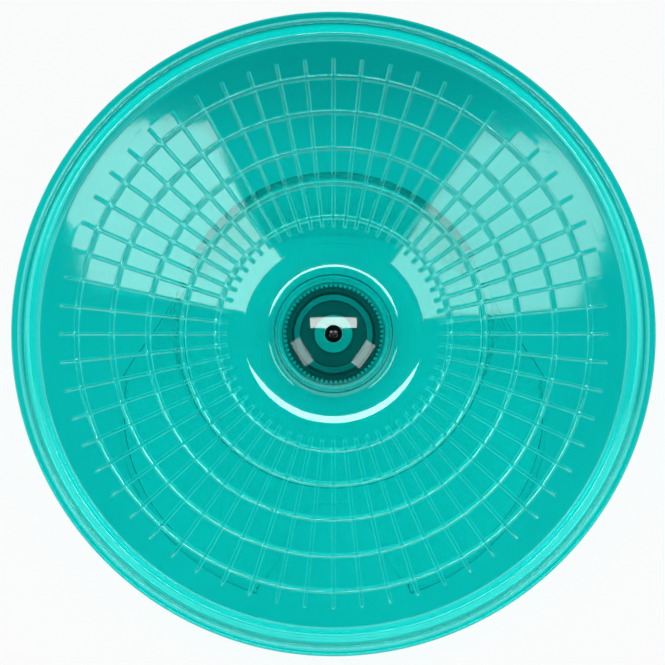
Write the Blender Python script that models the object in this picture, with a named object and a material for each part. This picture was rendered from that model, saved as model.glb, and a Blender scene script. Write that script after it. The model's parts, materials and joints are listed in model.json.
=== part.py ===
"""Flying saucer wheel for small pets: a ribbed dish that turns on a tilted ball bearing
above a bell-shaped base with three feet.

Lengths are in metres and +Z is up. The object stands on the ground, centred on the origin.
Heights in the dish's own frame are measured along the axle from the middle of the bearing.
"""
import math

import bmesh
import bpy
import numpy as np
from mathutils import Matrix, Vector

# Whole object
RIM_RADIUS = 0.09525
TILT = math.radians(30)
RIM_CLEARANCE = 0.0272
FIT = 0.0003
MERGE = 0.000002

# Saucer: running surface
WALL = 0.0018
RIM_WIDTH = 0.00855
DISH_SLOPE = math.radians(17)
RIB_COUNT = 60
RIB_WIDTH = 0.0015
RIB_HUB_MARGIN = 0.0044
RIB_RIM_MARGIN = 0.0049
RING_WIDTH = 0.0019
RING_INNER_MARGIN = 0.0033
RING_OUTER_MARGIN = 0.0055
RING_PLACE_SHARES = (0.0, 0.243, 0.493, 0.752, 1.0)
BEAD_HEIGHT = 0.0008

# Saucer: hub, a low dome that ends in a hollow with a nearly level terrace round it
DOME_CURVE_RADIUS = 0.0450
HUB_SHOULDER_SETBACK = 0.0009
HUB_SHOULDER_FILLET = 0.0015
HUB_WALL_SLOPE = math.radians(49.6)
HUB_HOLLOW_RADIUS = 0.0052
HUB_TERRACE_FLAT = 0.0023
HUB_TERRACE_RADIUS = 0.0280
HUB_TERRACE_SLOPE = math.radians(8)
HUB_FOOT_FILLET = 0.0025
SOCKET_WALL = 0.0018

# Saucer: rolled rim, as shares of its width outwards and of its rise upwards
RIM_RISE = 0.0050
RIM_TOP_SHARES = (
    (0.07, 0.12),
    (0.17, 0.78),
    (0.25, 0.96),
    (0.36, 1.00),
    (0.46, 0.93),
    (0.53, 0.72),
    (0.63, 0.70),
    (0.70, 0.84),
    (0.90, 0.62),
    (1.00, 0.30),
)
RIM_UNDER_SHARES = (
    (0.99, 0.12),
    (0.90, 0.10),
    (0.78, 0.38),
    (0.36, 0.58),
    (0.22, -0.02),
)

# Bearing, 8 mm bore
BEARING_BORE = 0.008
BEARING_OUTSIDE = 0.024
BEARING_WIDTH = 0.008
BALL_DIAMETER = 0.0047625
BALL_COUNT = 7
BALL_PLAY = 0.00015
INNER_SHOULDER_REACH = 0.0020
OUTER_SHOULDER_REACH = 0.0021
RACE_CHAMFER = 0.0003
SEAL_THICKNESS = 0.0005
SEAL_RECESS = 0.0002
CAGE_INNER_REACH = 0.0011
CAGE_OUTER_REACH = 0.0012
CAGE_TOP = 0.0009

# Bearing housing, pressed into the saucer
HOUSING_WALL = 0.0027
HOUSING_LIP_REACH = 0.0016
HOUSING_LIP = 0.0012
HOUSING_COLLAR_WALL = 0.0013
HOUSING_COLLAR_RISE = 0.0009
HOUSING_SHOULDER_RISE = 0.0002
HOUSING_HEAD_ROOM = 0.0008
KNURL_COUNT = 64
KNURL_DEPTH = 0.0006

# Axle stack
SPINDLE_OVERHANG = 0.0015
SPINDLE_CHAMFER = 0.0005
SPINDLE_HOLE_DEPTH = 0.0135
SPACER_LENGTH = 0.0039
SPACER_SETBACK = 0.0002
SCREW_RADIUS = 0.0015
SCREW_REACH = 0.0120
SCREW_HEAD_RADIUS = 0.00245
SCREW_HEAD_HEIGHT = 0.0019
SCREW_HEAD_SHARES = ((0.56, 1.0), (0.86, 0.82), (1.0, 0.50), (1.0, 0.0))
RECESS_WIDTH = 0.0006
RECESS_SPAN = 0.0025
RECESS_DEPTH = 0.0009
CLAMP_WASHER_SETBACK = 0.0003
CLAMP_WASHER_THICKNESS = 0.0008
NUT_ACROSS_FLATS = 0.013
NUT_HEIGHT = 0.0065
NUT_CHAMFER = 0.0006
SPINDLE_WASHER_RADIUS = 0.0080
SPINDLE_WASHER_THICKNESS = 0.0012

# Base
BASE_WALL = 0.0022
BOSS_RADIUS = 0.0120
BOSS_RISE = 0.0030
BOSS_DRAFT = 0.0004
TOP_RADIUS = 0.0500
TOP_CURVE_RADIUS = 0.150
SHOULDER_WIDTH = 0.0040
SHOULDER_DROP = 0.0022
FOOT_RADIUS = 0.0680
FOOT_SETBACK = 0.0023
SOLE_HEIGHT = 0.0040
FLARE_POWER = 1.5
FEET = 3
ARCH_HALF_ANGLE = math.radians(20.5)
ARCH_OUTLINE_SHARES = (
    (0.00, 0.17),
    (0.30, 0.18),
    (0.45, 0.26),
    (0.60, 0.50),
    (0.80, 0.80),
    (1.00, 1.00),
)
FOOT_COLUMN_SHARES = (0.33, 0.67, 1.0)
SKIRT_ROW_SHARES = (0.2, 0.45, 0.72, 1.0)

COLUMNS = 24
CAGE_COLUMNS = 28
POCKET_COLUMNS = 12
SCREW_COLUMNS = 16
NUT_COLUMNS = 12
ARC_POINTS = 3
HOLLOW_POINTS = 4
GROOVE_POINTS = 5
BALL_COLUMNS = 10
BALL_ROWS = 6

# Sizes that follow from those above
HALF_BEARING = BEARING_WIDTH / 2
PITCH_RADIUS = (BEARING_BORE + BEARING_OUTSIDE) / 4
GROOVE_RADIUS = BALL_DIAMETER / 2 + BALL_PLAY
INNER_SHOULDER_RADIUS = PITCH_RADIUS - INNER_SHOULDER_REACH
OUTER_SHOULDER_RADIUS = PITCH_RADIUS + OUTER_SHOULDER_REACH
CAGE_INNER_RADIUS = PITCH_RADIUS - CAGE_INNER_REACH
CAGE_OUTER_RADIUS = PITCH_RADIUS + CAGE_OUTER_REACH
HOUSING_BORE_RADIUS = BEARING_OUTSIDE / 2 + FIT
HOUSING_RADIUS = HOUSING_BORE_RADIUS + HOUSING_WALL
HOUSING_COLLAR_RADIUS = HOUSING_BORE_RADIUS + HOUSING_COLLAR_WALL
HOUSING_LIP_RADIUS = HOUSING_BORE_RADIUS - HOUSING_LIP_REACH
HOUSING_FOOT = -(HALF_BEARING + FIT + HOUSING_LIP)
SPACER_RADIUS = INNER_SHOULDER_RADIUS - SPACER_SETBACK
CLAMP_WASHER_RADIUS = INNER_SHOULDER_RADIUS - CLAMP_WASHER_SETBACK
CLAMP_WASHER_FOOT = HALF_BEARING + FIT
SCREW_HEAD_FOOT = CLAMP_WASHER_FOOT + CLAMP_WASHER_THICKNESS + FIT
SCREW_HEAD_TOP = SCREW_HEAD_FOOT + SCREW_HEAD_HEIGHT
DOME_HOLE_RADIUS = SCREW_HEAD_RADIUS + FIT
SOCKET_RADIUS = HOUSING_RADIUS + FIT
SOCKET_OUTER_RADIUS = SOCKET_RADIUS + SOCKET_WALL
DOME_UNDERSIDE = HALF_BEARING + HOUSING_SHOULDER_RISE + HOUSING_HEAD_ROOM
DOME_CENTRE = DOME_UNDERSIDE - math.sqrt((DOME_CURVE_RADIUS - WALL) ** 2 - SOCKET_RADIUS**2)
HUB_SHOULDER_RADIUS = SOCKET_OUTER_RADIUS - HUB_SHOULDER_SETBACK
HUB_FOOT_RADIUS = (
    HUB_SHOULDER_RADIUS * (1 - HUB_SHOULDER_FILLET / DOME_CURVE_RADIUS)
    + (HUB_SHOULDER_FILLET + HUB_HOLLOW_RADIUS) * math.sin(HUB_WALL_SLOPE)
    + HUB_TERRACE_FLAT
    + (HUB_TERRACE_RADIUS - HUB_FOOT_FILLET) * math.sin(HUB_TERRACE_SLOPE)
    + HUB_FOOT_FILLET * math.sin(DISH_SLOPE)
)
DISH_RADIUS = RIM_RADIUS - RIM_WIDTH
RIB_STEP = math.tau / RIB_COUNT
RIB_INNER_RADIUS = HUB_FOOT_RADIUS + RIB_HUB_MARGIN
RIB_OUTER_RADIUS = DISH_RADIUS - RIB_RIM_MARGIN
RING_INNER_RADIUS = RIB_INNER_RADIUS + RING_INNER_MARGIN
RING_OUTER_RADIUS = RIB_OUTER_RADIUS - RING_OUTER_MARGIN
SPACER_TOP = -(HALF_BEARING + FIT)
BOSS_TOP = SPACER_TOP - SPACER_LENGTH - FIT
SPINDLE_RADIUS = BEARING_BORE / 2 - FIT
SPINDLE_TOP = HALF_BEARING - FIT
SPINDLE_WASHER_TOP = BOSS_TOP - BASE_WALL - FIT
NUT_TOP = SPINDLE_WASHER_TOP - SPINDLE_WASHER_THICKNESS - FIT
SPINDLE_FOOT = NUT_TOP - NUT_HEIGHT - SPINDLE_OVERHANG


def clear_scene():
    """Remove whatever the scene holds."""
    for item in list(bpy.data.objects):
        bpy.data.objects.remove(item, do_unlink=True)


def make_material(name, colour, roughness, metallic=0.0, alpha=1.0):
    """A plain Principled material."""
    material = bpy.data.materials.new(name)
    material.use_nodes = True
    shader = material.node_tree.nodes["Principled BSDF"]
    shader.inputs["Base Color"].default_value = (*colour, 1.0)
    shader.inputs["Roughness"].default_value = roughness
    shader.inputs["Metallic"].default_value = metallic
    shader.inputs["Alpha"].default_value = alpha
    return material


def add_empty(name, location=(0.0, 0.0, 0.0), rotation=(0.0, 0.0, 0.0), parent=None):
    """An empty that carries pieces which share an axis."""
    empty = bpy.data.objects.new(name, None)
    empty.location = location
    empty.rotation_euler = rotation
    empty.parent = parent
    bpy.context.scene.collection.objects.link(empty)
    return empty


def add_piece(name, mesh, material, parent=None, location=(0.0, 0.0, 0.0)):
    """An object with one material, placed under its parent."""
    if not mesh.materials:
        mesh.materials.append(material)
    mesh.shade_smooth()
    mesh.set_sharp_from_angle(angle=math.radians(32))
    piece = bpy.data.objects.new(name, mesh)
    piece.parent = parent
    piece.location = location
    bpy.context.scene.collection.objects.link(piece)
    return piece


def finish_mesh(name, bm):
    """Merge doubled points, turn the faces outwards and store the mesh."""
    bmesh.ops.remove_doubles(bm, verts=bm.verts, dist=MERGE)
    bmesh.ops.recalc_face_normals(bm, faces=bm.faces)
    mesh = bpy.data.meshes.new(name)
    bm.to_mesh(mesh)
    bm.free()
    return mesh


def spin_outline(bm, outline, columns, closed=True):
    """Turn an outline of (radius, height) points once round the axle."""
    points = [bm.verts.new((radius, 0.0, height)) for radius, height in outline]
    pairs = list(zip(points, points[1:]))
    if closed:
        pairs.append((points[-1], points[0]))
    edges = [bm.edges.new(pair) for pair in pairs]
    bmesh.ops.spin(
        bm,
        geom=points + edges,
        cent=(0.0, 0.0, 0.0),
        axis=(0.0, 0.0, 1.0),
        angle=math.tau,
        steps=columns,
        use_merge=True,
    )


def turned_mesh(name, outline, columns=COLUMNS, closed=True):
    """A turned piece: a closed outline gives a ring, one from axis to axis a solid."""
    bm = bmesh.new()
    spin_outline(bm, outline, columns, closed)
    return finish_mesh(name, bm)


def washer_outline(inner_radius, outer_radius, foot, top):
    """The section of a flat ring."""
    return [(inner_radius, foot), (outer_radius, foot), (outer_radius, top), (inner_radius, top)]


def arc_points(centre, radius, start, end, count):
    """Points on an arc in the (radius, height) plane, both ends included."""
    return [
        (centre[0] + radius * math.cos(angle), centre[1] + radius * math.sin(angle))
        for angle in np.linspace(start, end, count)
    ]


def along(start, reach, angle):
    """The point at a distance and an angle from another in the (radius, height) plane."""
    return start[0] + reach * math.cos(angle), start[1] + reach * math.sin(angle)


def cut(piece, cutter_mesh, name):
    """Cut a mesh out of a piece with a Boolean that stays live on it."""
    cutter = bpy.data.objects.new(name, cutter_mesh)
    cutter.parent = piece
    cutter.hide_render = True
    cutter.display_type = "WIRE"
    bpy.context.scene.collection.objects.link(cutter)
    modifier = piece.modifiers.new(name, "BOOLEAN")
    modifier.operation = "DIFFERENCE"
    modifier.object = cutter


# Saucer


def hub_outline(depth, hollow_points):
    """Dome, hollow and terrace of the hub, at a depth below the outer skin: arcs that each
    run on smoothly into the next, down to the running surface."""
    up = math.pi / 2
    shoulder_angle = up - math.asin(HUB_SHOULDER_RADIUS / DOME_CURVE_RADIUS)
    wall_angle = up - HUB_WALL_SLOPE
    terrace_angle = HUB_TERRACE_SLOPE - up
    crown = (0.0, DOME_CENTRE)
    shoulder = along(crown, DOME_CURVE_RADIUS - HUB_SHOULDER_FILLET, shoulder_angle)
    hollow = along(shoulder, HUB_SHOULDER_FILLET + HUB_HOLLOW_RADIUS, wall_angle)
    terrace = (hollow[0] + HUB_TERRACE_FLAT, hollow[1] + HUB_TERRACE_RADIUS - HUB_HOLLOW_RADIUS)
    foot = along(terrace, HUB_TERRACE_RADIUS - HUB_FOOT_FILLET, terrace_angle)
    curve = DOME_CURVE_RADIUS - depth
    hole_angle = up - math.asin(DOME_HOLE_RADIUS / curve)
    dome_arc = arc_points(crown, curve, hole_angle, shoulder_angle, ARC_POINTS)
    hollow_arc = arc_points(
        hollow, HUB_HOLLOW_RADIUS + depth, wall_angle - math.pi, -up, hollow_points
    )
    terrace_ends = [
        along(terrace, HUB_TERRACE_RADIUS + depth, terrace_angle),
        along(foot, HUB_FOOT_FILLET + depth, DISH_SLOPE - up),
    ]
    return dome_arc, hollow_arc, terrace_ends


def dish_height(radius):
    """Height of the running surface between its beads."""
    foot_radius, foot_height = hub_outline(0.0, HOLLOW_POINTS)[2][-1]
    return foot_height + (radius - foot_radius) * math.tan(DISH_SLOPE)


def rim_points(shares):
    """Rim points from shares of its width and its rise."""
    width = RIM_RADIUS - DISH_RADIUS
    foot = dish_height(DISH_RADIUS)
    return [(DISH_RADIUS + across * width, foot + up * RIM_RISE) for across, up in shares]


def dome_underside(radius):
    """Height of the dome's inner skin."""
    return DOME_CENTRE + math.sqrt((DOME_CURVE_RADIUS - WALL) ** 2 - radius**2)


def saucer_outline():
    """Section of the saucer apart from the beaded band, from the band's inner edge,
    over the hub, along the underside and over the rim to the band's outer edge."""
    dome, hollow, terrace = hub_outline(0.0, HOLLOW_POINTS)
    hub_top = [(RIB_INNER_RADIUS, dish_height(RIB_INNER_RADIUS))] + (dome + hollow + terrace)[::-1]
    _, under_hollow, under_terrace = hub_outline(WALL, HOLLOW_POINTS)
    hollow_centre = under_hollow[-1][1] + HUB_HOLLOW_RADIUS + WALL
    inwards = under_hollow[-1][0] - SOCKET_OUTER_RADIUS
    socket_top = hollow_centre - math.sqrt((HUB_HOLLOW_RADIUS + WALL) ** 2 - inwards**2)
    under_hub = [
        (DOME_HOLE_RADIUS, dome_underside(DOME_HOLE_RADIUS)),
        (SOCKET_RADIUS, dome_underside(SOCKET_RADIUS)),
        (SOCKET_RADIUS, HOUSING_FOOT),
        (SOCKET_OUTER_RADIUS, HOUSING_FOOT),
        (SOCKET_OUTER_RADIUS, socket_top),
    ]
    under_hub += [point for point in under_hollow if point[0] > SOCKET_OUTER_RADIUS + WALL / 4]
    under_dish_end = (DISH_RADIUS, dish_height(DISH_RADIUS) - WALL / math.cos(DISH_SLOPE))
    rim_under = rim_points(RIM_UNDER_SHARES)[::-1]
    rim_top = rim_points(RIM_TOP_SHARES)[::-1]
    band_edge = [
        (DISH_RADIUS, dish_height(DISH_RADIUS)),
        (RIB_OUTER_RADIUS, dish_height(RIB_OUTER_RADIUS)),
    ]
    under_hub.append(under_terrace[-1])
    return hub_top + under_hub + [under_dish_end] + rim_under + rim_top + band_edge


def ring_radii():
    """Radii of the round beads."""
    span = RING_OUTER_RADIUS - RING_INNER_RADIUS
    return [RING_INNER_RADIUS + share * span for share in RING_PLACE_SHARES]


def beaded_sector(bm):
    """The band of the running surface between two neighbouring ribs, crest to crest."""
    half_rib = RIB_WIDTH / 2
    half_ring = RING_WIDTH / 2

    def point(radius, angle, rise=0.0):
        height = dish_height(radius) + rise
        return bm.verts.new((radius * math.cos(angle), radius * math.sin(angle), height))

    def foot_pair(radius):
        turn = half_rib / radius
        return point(radius, turn), point(radius, RIB_STEP - turn)

    def crest_pair(radius, rise=BEAD_HEIGHT):
        return point(radius, 0.0, rise), point(radius, RIB_STEP, rise)

    rings = ring_radii()
    crests = [crest_pair(RIB_INNER_RADIUS + RIB_WIDTH)]
    crests += [crest_pair(radius) for radius in rings]
    crests.append(crest_pair(RIB_OUTER_RADIUS - RIB_WIDTH))
    feet = [foot_pair(RIB_INNER_RADIUS + half_rib)]
    for radius in rings:
        feet.append(foot_pair(radius - half_ring))
        feet.append(foot_pair(radius + half_ring))
    feet.append(foot_pair(RIB_OUTER_RADIUS - half_rib))
    tips = [crest_pair(RIB_INNER_RADIUS, 0.0), crest_pair(RIB_OUTER_RADIUS, 0.0)]

    for gap in range(len(rings) + 1):
        near, far = feet[2 * gap], feet[2 * gap + 1]
        bm.faces.new((near[0], far[0], far[1], near[1]))
        for side in range(2):
            bm.faces.new((crests[gap][side], crests[gap + 1][side], far[side], near[side]))
    for ring in range(len(rings)):
        crest = crests[ring + 1]
        for foot in (feet[2 * ring + 1], feet[2 * ring + 2]):
            bm.faces.new((foot[0], crest[0], crest[1], foot[1]))
    for tip, crest, foot in ((tips[0], crests[0], feet[0]), (tips[1], crests[-1], feet[-1])):
        bm.faces.new((tip[0], foot[0], foot[1], tip[1]))
        for side in range(2):
            bm.faces.new((tip[side], crest[side], foot[side]))


def make_saucer(material, axle):
    """The dish, its rolled rim and its hub dome, with ribs and rings on the running surface."""
    bm = bmesh.new()
    beaded_sector(bm)
    bmesh.ops.spin(
        bm,
        geom=bm.verts[:] + bm.edges[:] + bm.faces[:],
        cent=(0.0, 0.0, 0.0),
        axis=(0.0, 0.0, 1.0),
        angle=math.tau - RIB_STEP,
        steps=RIB_COUNT - 1,
        use_duplicate=True,
    )
    spin_outline(bm, saucer_outline(), RIB_COUNT, closed=False)
    return add_piece("saucer", finish_mesh("saucer", bm), material, axle)


# Bearing and its housing


def groove_points(shoulder_radius, side):
    """The round groove in a race, from its upper edge to its lower edge."""
    half_turn = math.acos(abs(PITCH_RADIUS - shoulder_radius) / GROOVE_RADIUS)
    return [
        (PITCH_RADIUS + side * GROOVE_RADIUS * math.cos(angle), GROOVE_RADIUS * math.sin(angle))
        for angle in np.linspace(half_turn, -half_turn, GROOVE_POINTS)
    ]


def race_outline(land_radius, shoulder_radius, side):
    """Section of a race: side is -1 for the inner race and 1 for the outer one."""
    inset = RACE_CHAMFER * side
    top = HALF_BEARING
    outline = [(land_radius - inset, top), (shoulder_radius, top)]
    outline += groove_points(shoulder_radius, side)
    outline += [(shoulder_radius, -top), (land_radius - inset, -top)]
    outline += [(land_radius, RACE_CHAMFER - top), (land_radius, top - RACE_CHAMFER)]
    return outline


def make_races(material, fixed, turning):
    """The inner race stays with the base, and the outer race turns with the saucer."""
    inner = race_outline(BEARING_BORE / 2, INNER_SHOULDER_RADIUS, -1)
    outer = race_outline(BEARING_OUTSIDE / 2, OUTER_SHOULDER_RADIUS, 1)
    add_piece("bearing_inner_race", turned_mesh("bearing_inner_race", inner), material, fixed)
    add_piece("bearing_outer_race", turned_mesh("bearing_outer_race", outer), material, turning)


def make_seals(material, axle):
    """Two rubber seals, sunk a little below the faces of the races."""
    outer_face = HALF_BEARING - SEAL_RECESS
    inner_face = outer_face - SEAL_THICKNESS
    inner_radius = INNER_SHOULDER_RADIUS + FIT
    outer_radius = OUTER_SHOULDER_RADIUS - FIT
    for name, foot, top in (
        ("bearing_seal_top", inner_face, outer_face),
        ("bearing_seal_bottom", -outer_face, -inner_face),
    ):
        outline = washer_outline(inner_radius, outer_radius, foot, top)
        add_piece(name, turned_mesh(name, outline), material, axle)


def make_balls(material, ball_set):
    """One ball mesh, placed round the pitch circle."""
    bm = bmesh.new()
    bmesh.ops.create_uvsphere(
        bm, u_segments=BALL_COLUMNS, v_segments=BALL_ROWS, radius=BALL_DIAMETER / 2
    )
    mesh = finish_mesh("bearing_ball", bm)
    for number in range(BALL_COUNT):
        angle = math.tau * number / BALL_COUNT
        place = (PITCH_RADIUS * math.cos(angle), PITCH_RADIUS * math.sin(angle), 0.0)
        add_piece(f"bearing_ball_{number + 1}", mesh, material, ball_set, place)


def make_cage(material, ball_set):
    """A crown cage: a ring with a round pocket cut for each ball."""
    foot = -(HALF_BEARING - SEAL_RECESS - SEAL_THICKNESS - FIT)
    outline = washer_outline(CAGE_INNER_RADIUS, CAGE_OUTER_RADIUS, foot, CAGE_TOP)
    mesh = turned_mesh("bearing_cage", outline, CAGE_COLUMNS)
    cage = add_piece("bearing_cage", mesh, material, ball_set)
    bm = bmesh.new()
    length = OUTER_SHOULDER_RADIUS - INNER_SHOULDER_RADIUS
    middle = (OUTER_SHOULDER_RADIUS + INNER_SHOULDER_RADIUS) / 2
    for number in range(BALL_COUNT):
        turn = Matrix.Rotation(math.tau * number / BALL_COUNT, 4, "Z")
        place = Matrix.Translation((middle, 0.0, 0.0)) @ Matrix.Rotation(math.pi / 2, 4, "Y")
        bmesh.ops.create_cone(
            bm,
            cap_ends=True,
            segments=POCKET_COLUMNS,
            radius1=GROOVE_RADIUS,
            radius2=GROOVE_RADIUS,
            depth=length,
            matrix=turn @ place,
        )
    cut(cage, finish_mesh("cage_pockets", bm), "cage_pockets")


def make_housing(material, axle):
    """The black housing: a bored cup with a knurled rim, which turns with the saucer."""
    shoulder = HALF_BEARING + HOUSING_SHOULDER_RISE
    collar_top = HALF_BEARING + HOUSING_COLLAR_RISE
    lip_top = HOUSING_FOOT + HOUSING_LIP
    columns = KNURL_COUNT // 2
    outline = [
        (HOUSING_COLLAR_RADIUS, shoulder),
        (HOUSING_COLLAR_RADIUS, collar_top),
        (HOUSING_BORE_RADIUS, collar_top),
        (HOUSING_BORE_RADIUS, lip_top),
        (HOUSING_LIP_RADIUS, lip_top),
        (HOUSING_LIP_RADIUS, HOUSING_FOOT),
    ]
    bm = bmesh.new()
    spin_outline(bm, outline, columns, closed=False)
    bmesh.ops.remove_doubles(bm, verts=bm.verts, dist=MERGE)

    def knurl_ring(height):
        ring = []
        for step in range(2 * KNURL_COUNT):
            radius = HOUSING_RADIUS - KNURL_DEPTH * (step % 2)
            angle = math.pi * step / KNURL_COUNT
            ring.append(bm.verts.new((radius * math.cos(angle), radius * math.sin(angle), height)))
        return ring

    def plain_ring(radius, height):
        found = [
            vert
            for vert in bm.verts
            if abs(vert.co.xy.length - radius) < MERGE and abs(vert.co.z - height) < MERGE
        ]
        return sorted(found, key=lambda vert: math.atan2(vert.co.y, vert.co.x) % math.tau)

    def close_face(knurled, plain):
        for column in range(columns):
            teeth = [knurled[(4 * column + step) % len(knurled)] for step in range(5)]
            bm.faces.new(teeth + [plain[(column + 1) % columns], plain[column]])

    inner_top = plain_ring(HOUSING_COLLAR_RADIUS, shoulder)
    inner_foot = plain_ring(HOUSING_LIP_RADIUS, HOUSING_FOOT)
    top_teeth = knurl_ring(shoulder)
    foot_teeth = knurl_ring(HOUSING_FOOT)
    for step in range(2 * KNURL_COUNT):
        after = (step + 1) % (2 * KNURL_COUNT)
        bm.faces.new((foot_teeth[step], foot_teeth[after], top_teeth[after], top_teeth[step]))
    close_face(top_teeth, inner_top)
    close_face(foot_teeth, inner_foot)
    add_piece("bearing_housing", finish_mesh("bearing_housing", bm), material, axle)


# Axle stack


def make_spindle(material, axle):
    """The steel spindle, drilled from above for the hub screw."""
    hole_radius = SCREW_RADIUS + FIT
    outline = [
        (0.0, SPINDLE_TOP - SPINDLE_HOLE_DEPTH),
        (hole_radius, SPINDLE_TOP - SPINDLE_HOLE_DEPTH),
        (hole_radius, SPINDLE_TOP),
        (SPINDLE_RADIUS - SPINDLE_CHAMFER, SPINDLE_TOP),
        (SPINDLE_RADIUS, SPINDLE_TOP - SPINDLE_CHAMFER),
        (SPINDLE_RADIUS, SPINDLE_FOOT + SPINDLE_CHAMFER),
        (SPINDLE_RADIUS - SPINDLE_CHAMFER, SPINDLE_FOOT),
        (0.0, SPINDLE_FOOT),
    ]
    add_piece("spindle", turned_mesh("spindle", outline, closed=False), material, axle)


def make_rings(steel, pale, axle):
    """The spacer under the inner race, the clamp washer on it and the washer over the nut."""
    through = SPINDLE_RADIUS + FIT
    rings = (
        ("bearing_spacer", steel, through, SPACER_RADIUS, SPACER_TOP - SPACER_LENGTH, SPACER_TOP),
        (
            "clamp_washer",
            pale,
            SCREW_RADIUS + FIT,
            CLAMP_WASHER_RADIUS,
            CLAMP_WASHER_FOOT,
            CLAMP_WASHER_FOOT + CLAMP_WASHER_THICKNESS,
        ),
        (
            "spindle_washer",
            steel,
            through,
            SPINDLE_WASHER_RADIUS,
            SPINDLE_WASHER_TOP - SPINDLE_WASHER_THICKNESS,
            SPINDLE_WASHER_TOP,
        ),
    )
    for name, material, inner, outer, foot, top in rings:
        mesh = turned_mesh(name, washer_outline(inner, outer, foot, top))
        add_piece(name, mesh, material, axle)


def make_screw(material, axle):
    """The hub screw: a domed head with a cross recess on a plain shank."""
    outline = [(0.0, SCREW_HEAD_TOP)]
    for across, up in SCREW_HEAD_SHARES:
        outline.append((SCREW_HEAD_RADIUS * across, SCREW_HEAD_FOOT + SCREW_HEAD_HEIGHT * up))
    outline += [
        (SCREW_RADIUS, SCREW_HEAD_FOOT),
        (SCREW_RADIUS, SCREW_HEAD_FOOT - SCREW_REACH),
        (0.0, SCREW_HEAD_FOOT - SCREW_REACH),
    ]
    mesh = turned_mesh("hub_screw", outline, SCREW_COLUMNS, closed=False)
    screw = add_piece("hub_screw", mesh, material, axle)
    bm = bmesh.new()
    half_span, half_width = RECESS_SPAN / 2, RECESS_WIDTH / 2
    arm = [(half_width, half_width), (half_width, half_span), (-half_width, half_span)]
    corners = []
    for quarter in range(4):
        turn = Matrix.Rotation(quarter * math.pi / 2, 3, "Z")
        corners += [turn @ Vector((x, y, SCREW_HEAD_TOP - RECESS_DEPTH)) for x, y in arm]
    face = bm.faces.new([bm.verts.new(corner) for corner in corners])
    grown = bmesh.ops.extrude_face_region(bm, geom=[face])
    lifted = [item for item in grown["geom"] if isinstance(item, bmesh.types.BMVert)]
    bmesh.ops.translate(bm, verts=lifted, vec=(0.0, 0.0, 2 * RECESS_DEPTH))
    cut(screw, finish_mesh("cross_recess", bm), "cross_recess")


def make_nut(material, axle):
    """The hexagon nut under the base's plate."""
    corner_radius = NUT_ACROSS_FLATS / 2 / math.cos(math.pi / 6)
    foot = NUT_TOP - NUT_HEIGHT
    hole = SPINDLE_RADIUS + FIT
    bm = bmesh.new()

    def ring(height, radius_at):
        verts = []
        for step in range(NUT_COLUMNS):
            angle = math.tau * step / NUT_COLUMNS
            radius = radius_at(angle)
            verts.append(bm.verts.new((radius * math.cos(angle), radius * math.sin(angle), height)))
        return verts

    def flat(angle):
        from_flat = (angle % (math.pi / 3)) - math.pi / 6
        return NUT_ACROSS_FLATS / 2 / math.cos(from_flat)

    def chamfered(angle):
        return min(flat(angle), corner_radius - NUT_CHAMFER)

    rings = [
        ring(NUT_TOP, lambda angle: hole),
        ring(NUT_TOP, chamfered),
        ring(NUT_TOP - NUT_CHAMFER / 2, flat),
        ring(foot + NUT_CHAMFER / 2, flat),
        ring(foot, chamfered),
        ring(foot, lambda angle: hole),
    ]
    for near, far in zip(rings, rings[1:] + rings[:1]):
        for step in range(NUT_COLUMNS):
            after = (step + 1) % NUT_COLUMNS
            bm.faces.new((near[step], near[after], far[after], far[step]))
    add_piece("spindle_nut", finish_mesh("spindle_nut", bm), material, axle)


# Base


def base_columns():
    """Directions of the base's columns, each with how far down its skirt reaches."""
    third = math.tau / FEET
    half = third / 2
    right = [(share * ARCH_HALF_ANGLE, reach) for share, reach in ARCH_OUTLINE_SHARES]
    foot = half - ARCH_HALF_ANGLE
    right += [(ARCH_HALF_ANGLE + share * foot, 1.0) for share in FOOT_COLUMN_SHARES]
    left = [(-angle, reach) for angle, reach in right[1:-1]]
    columns = []
    for number in range(FEET):
        middle = -math.pi / 2 + number * third
        columns += [(middle + angle, reach) for angle, reach in left[::-1] + right]
    return columns


def top_rings():
    """Boss and domed top of the base as (radius, height) pairs in the dish's frame."""
    boss_foot = BOSS_RADIUS + BOSS_DRAFT
    crown = BOSS_TOP - BOSS_RISE + TOP_CURVE_RADIUS - math.sqrt(TOP_CURVE_RADIUS**2 - boss_foot**2)

    def dome(radius):
        return crown - TOP_CURVE_RADIUS + math.sqrt(TOP_CURVE_RADIUS**2 - radius**2)

    shoulder = TOP_RADIUS - SHOULDER_WIDTH
    middle = (boss_foot + shoulder) / 2
    return [
        (SPINDLE_RADIUS + FIT, BOSS_TOP),
        (BOSS_RADIUS, BOSS_TOP),
        (boss_foot, dome(boss_foot)),
        (middle, dome(middle)),
        (shoulder, dome(shoulder)),
        (TOP_RADIUS - SHOULDER_WIDTH / 3, dome(shoulder) - SHOULDER_DROP / 3),
        (TOP_RADIUS, dome(shoulder) - SHOULDER_DROP),
    ]


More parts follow.
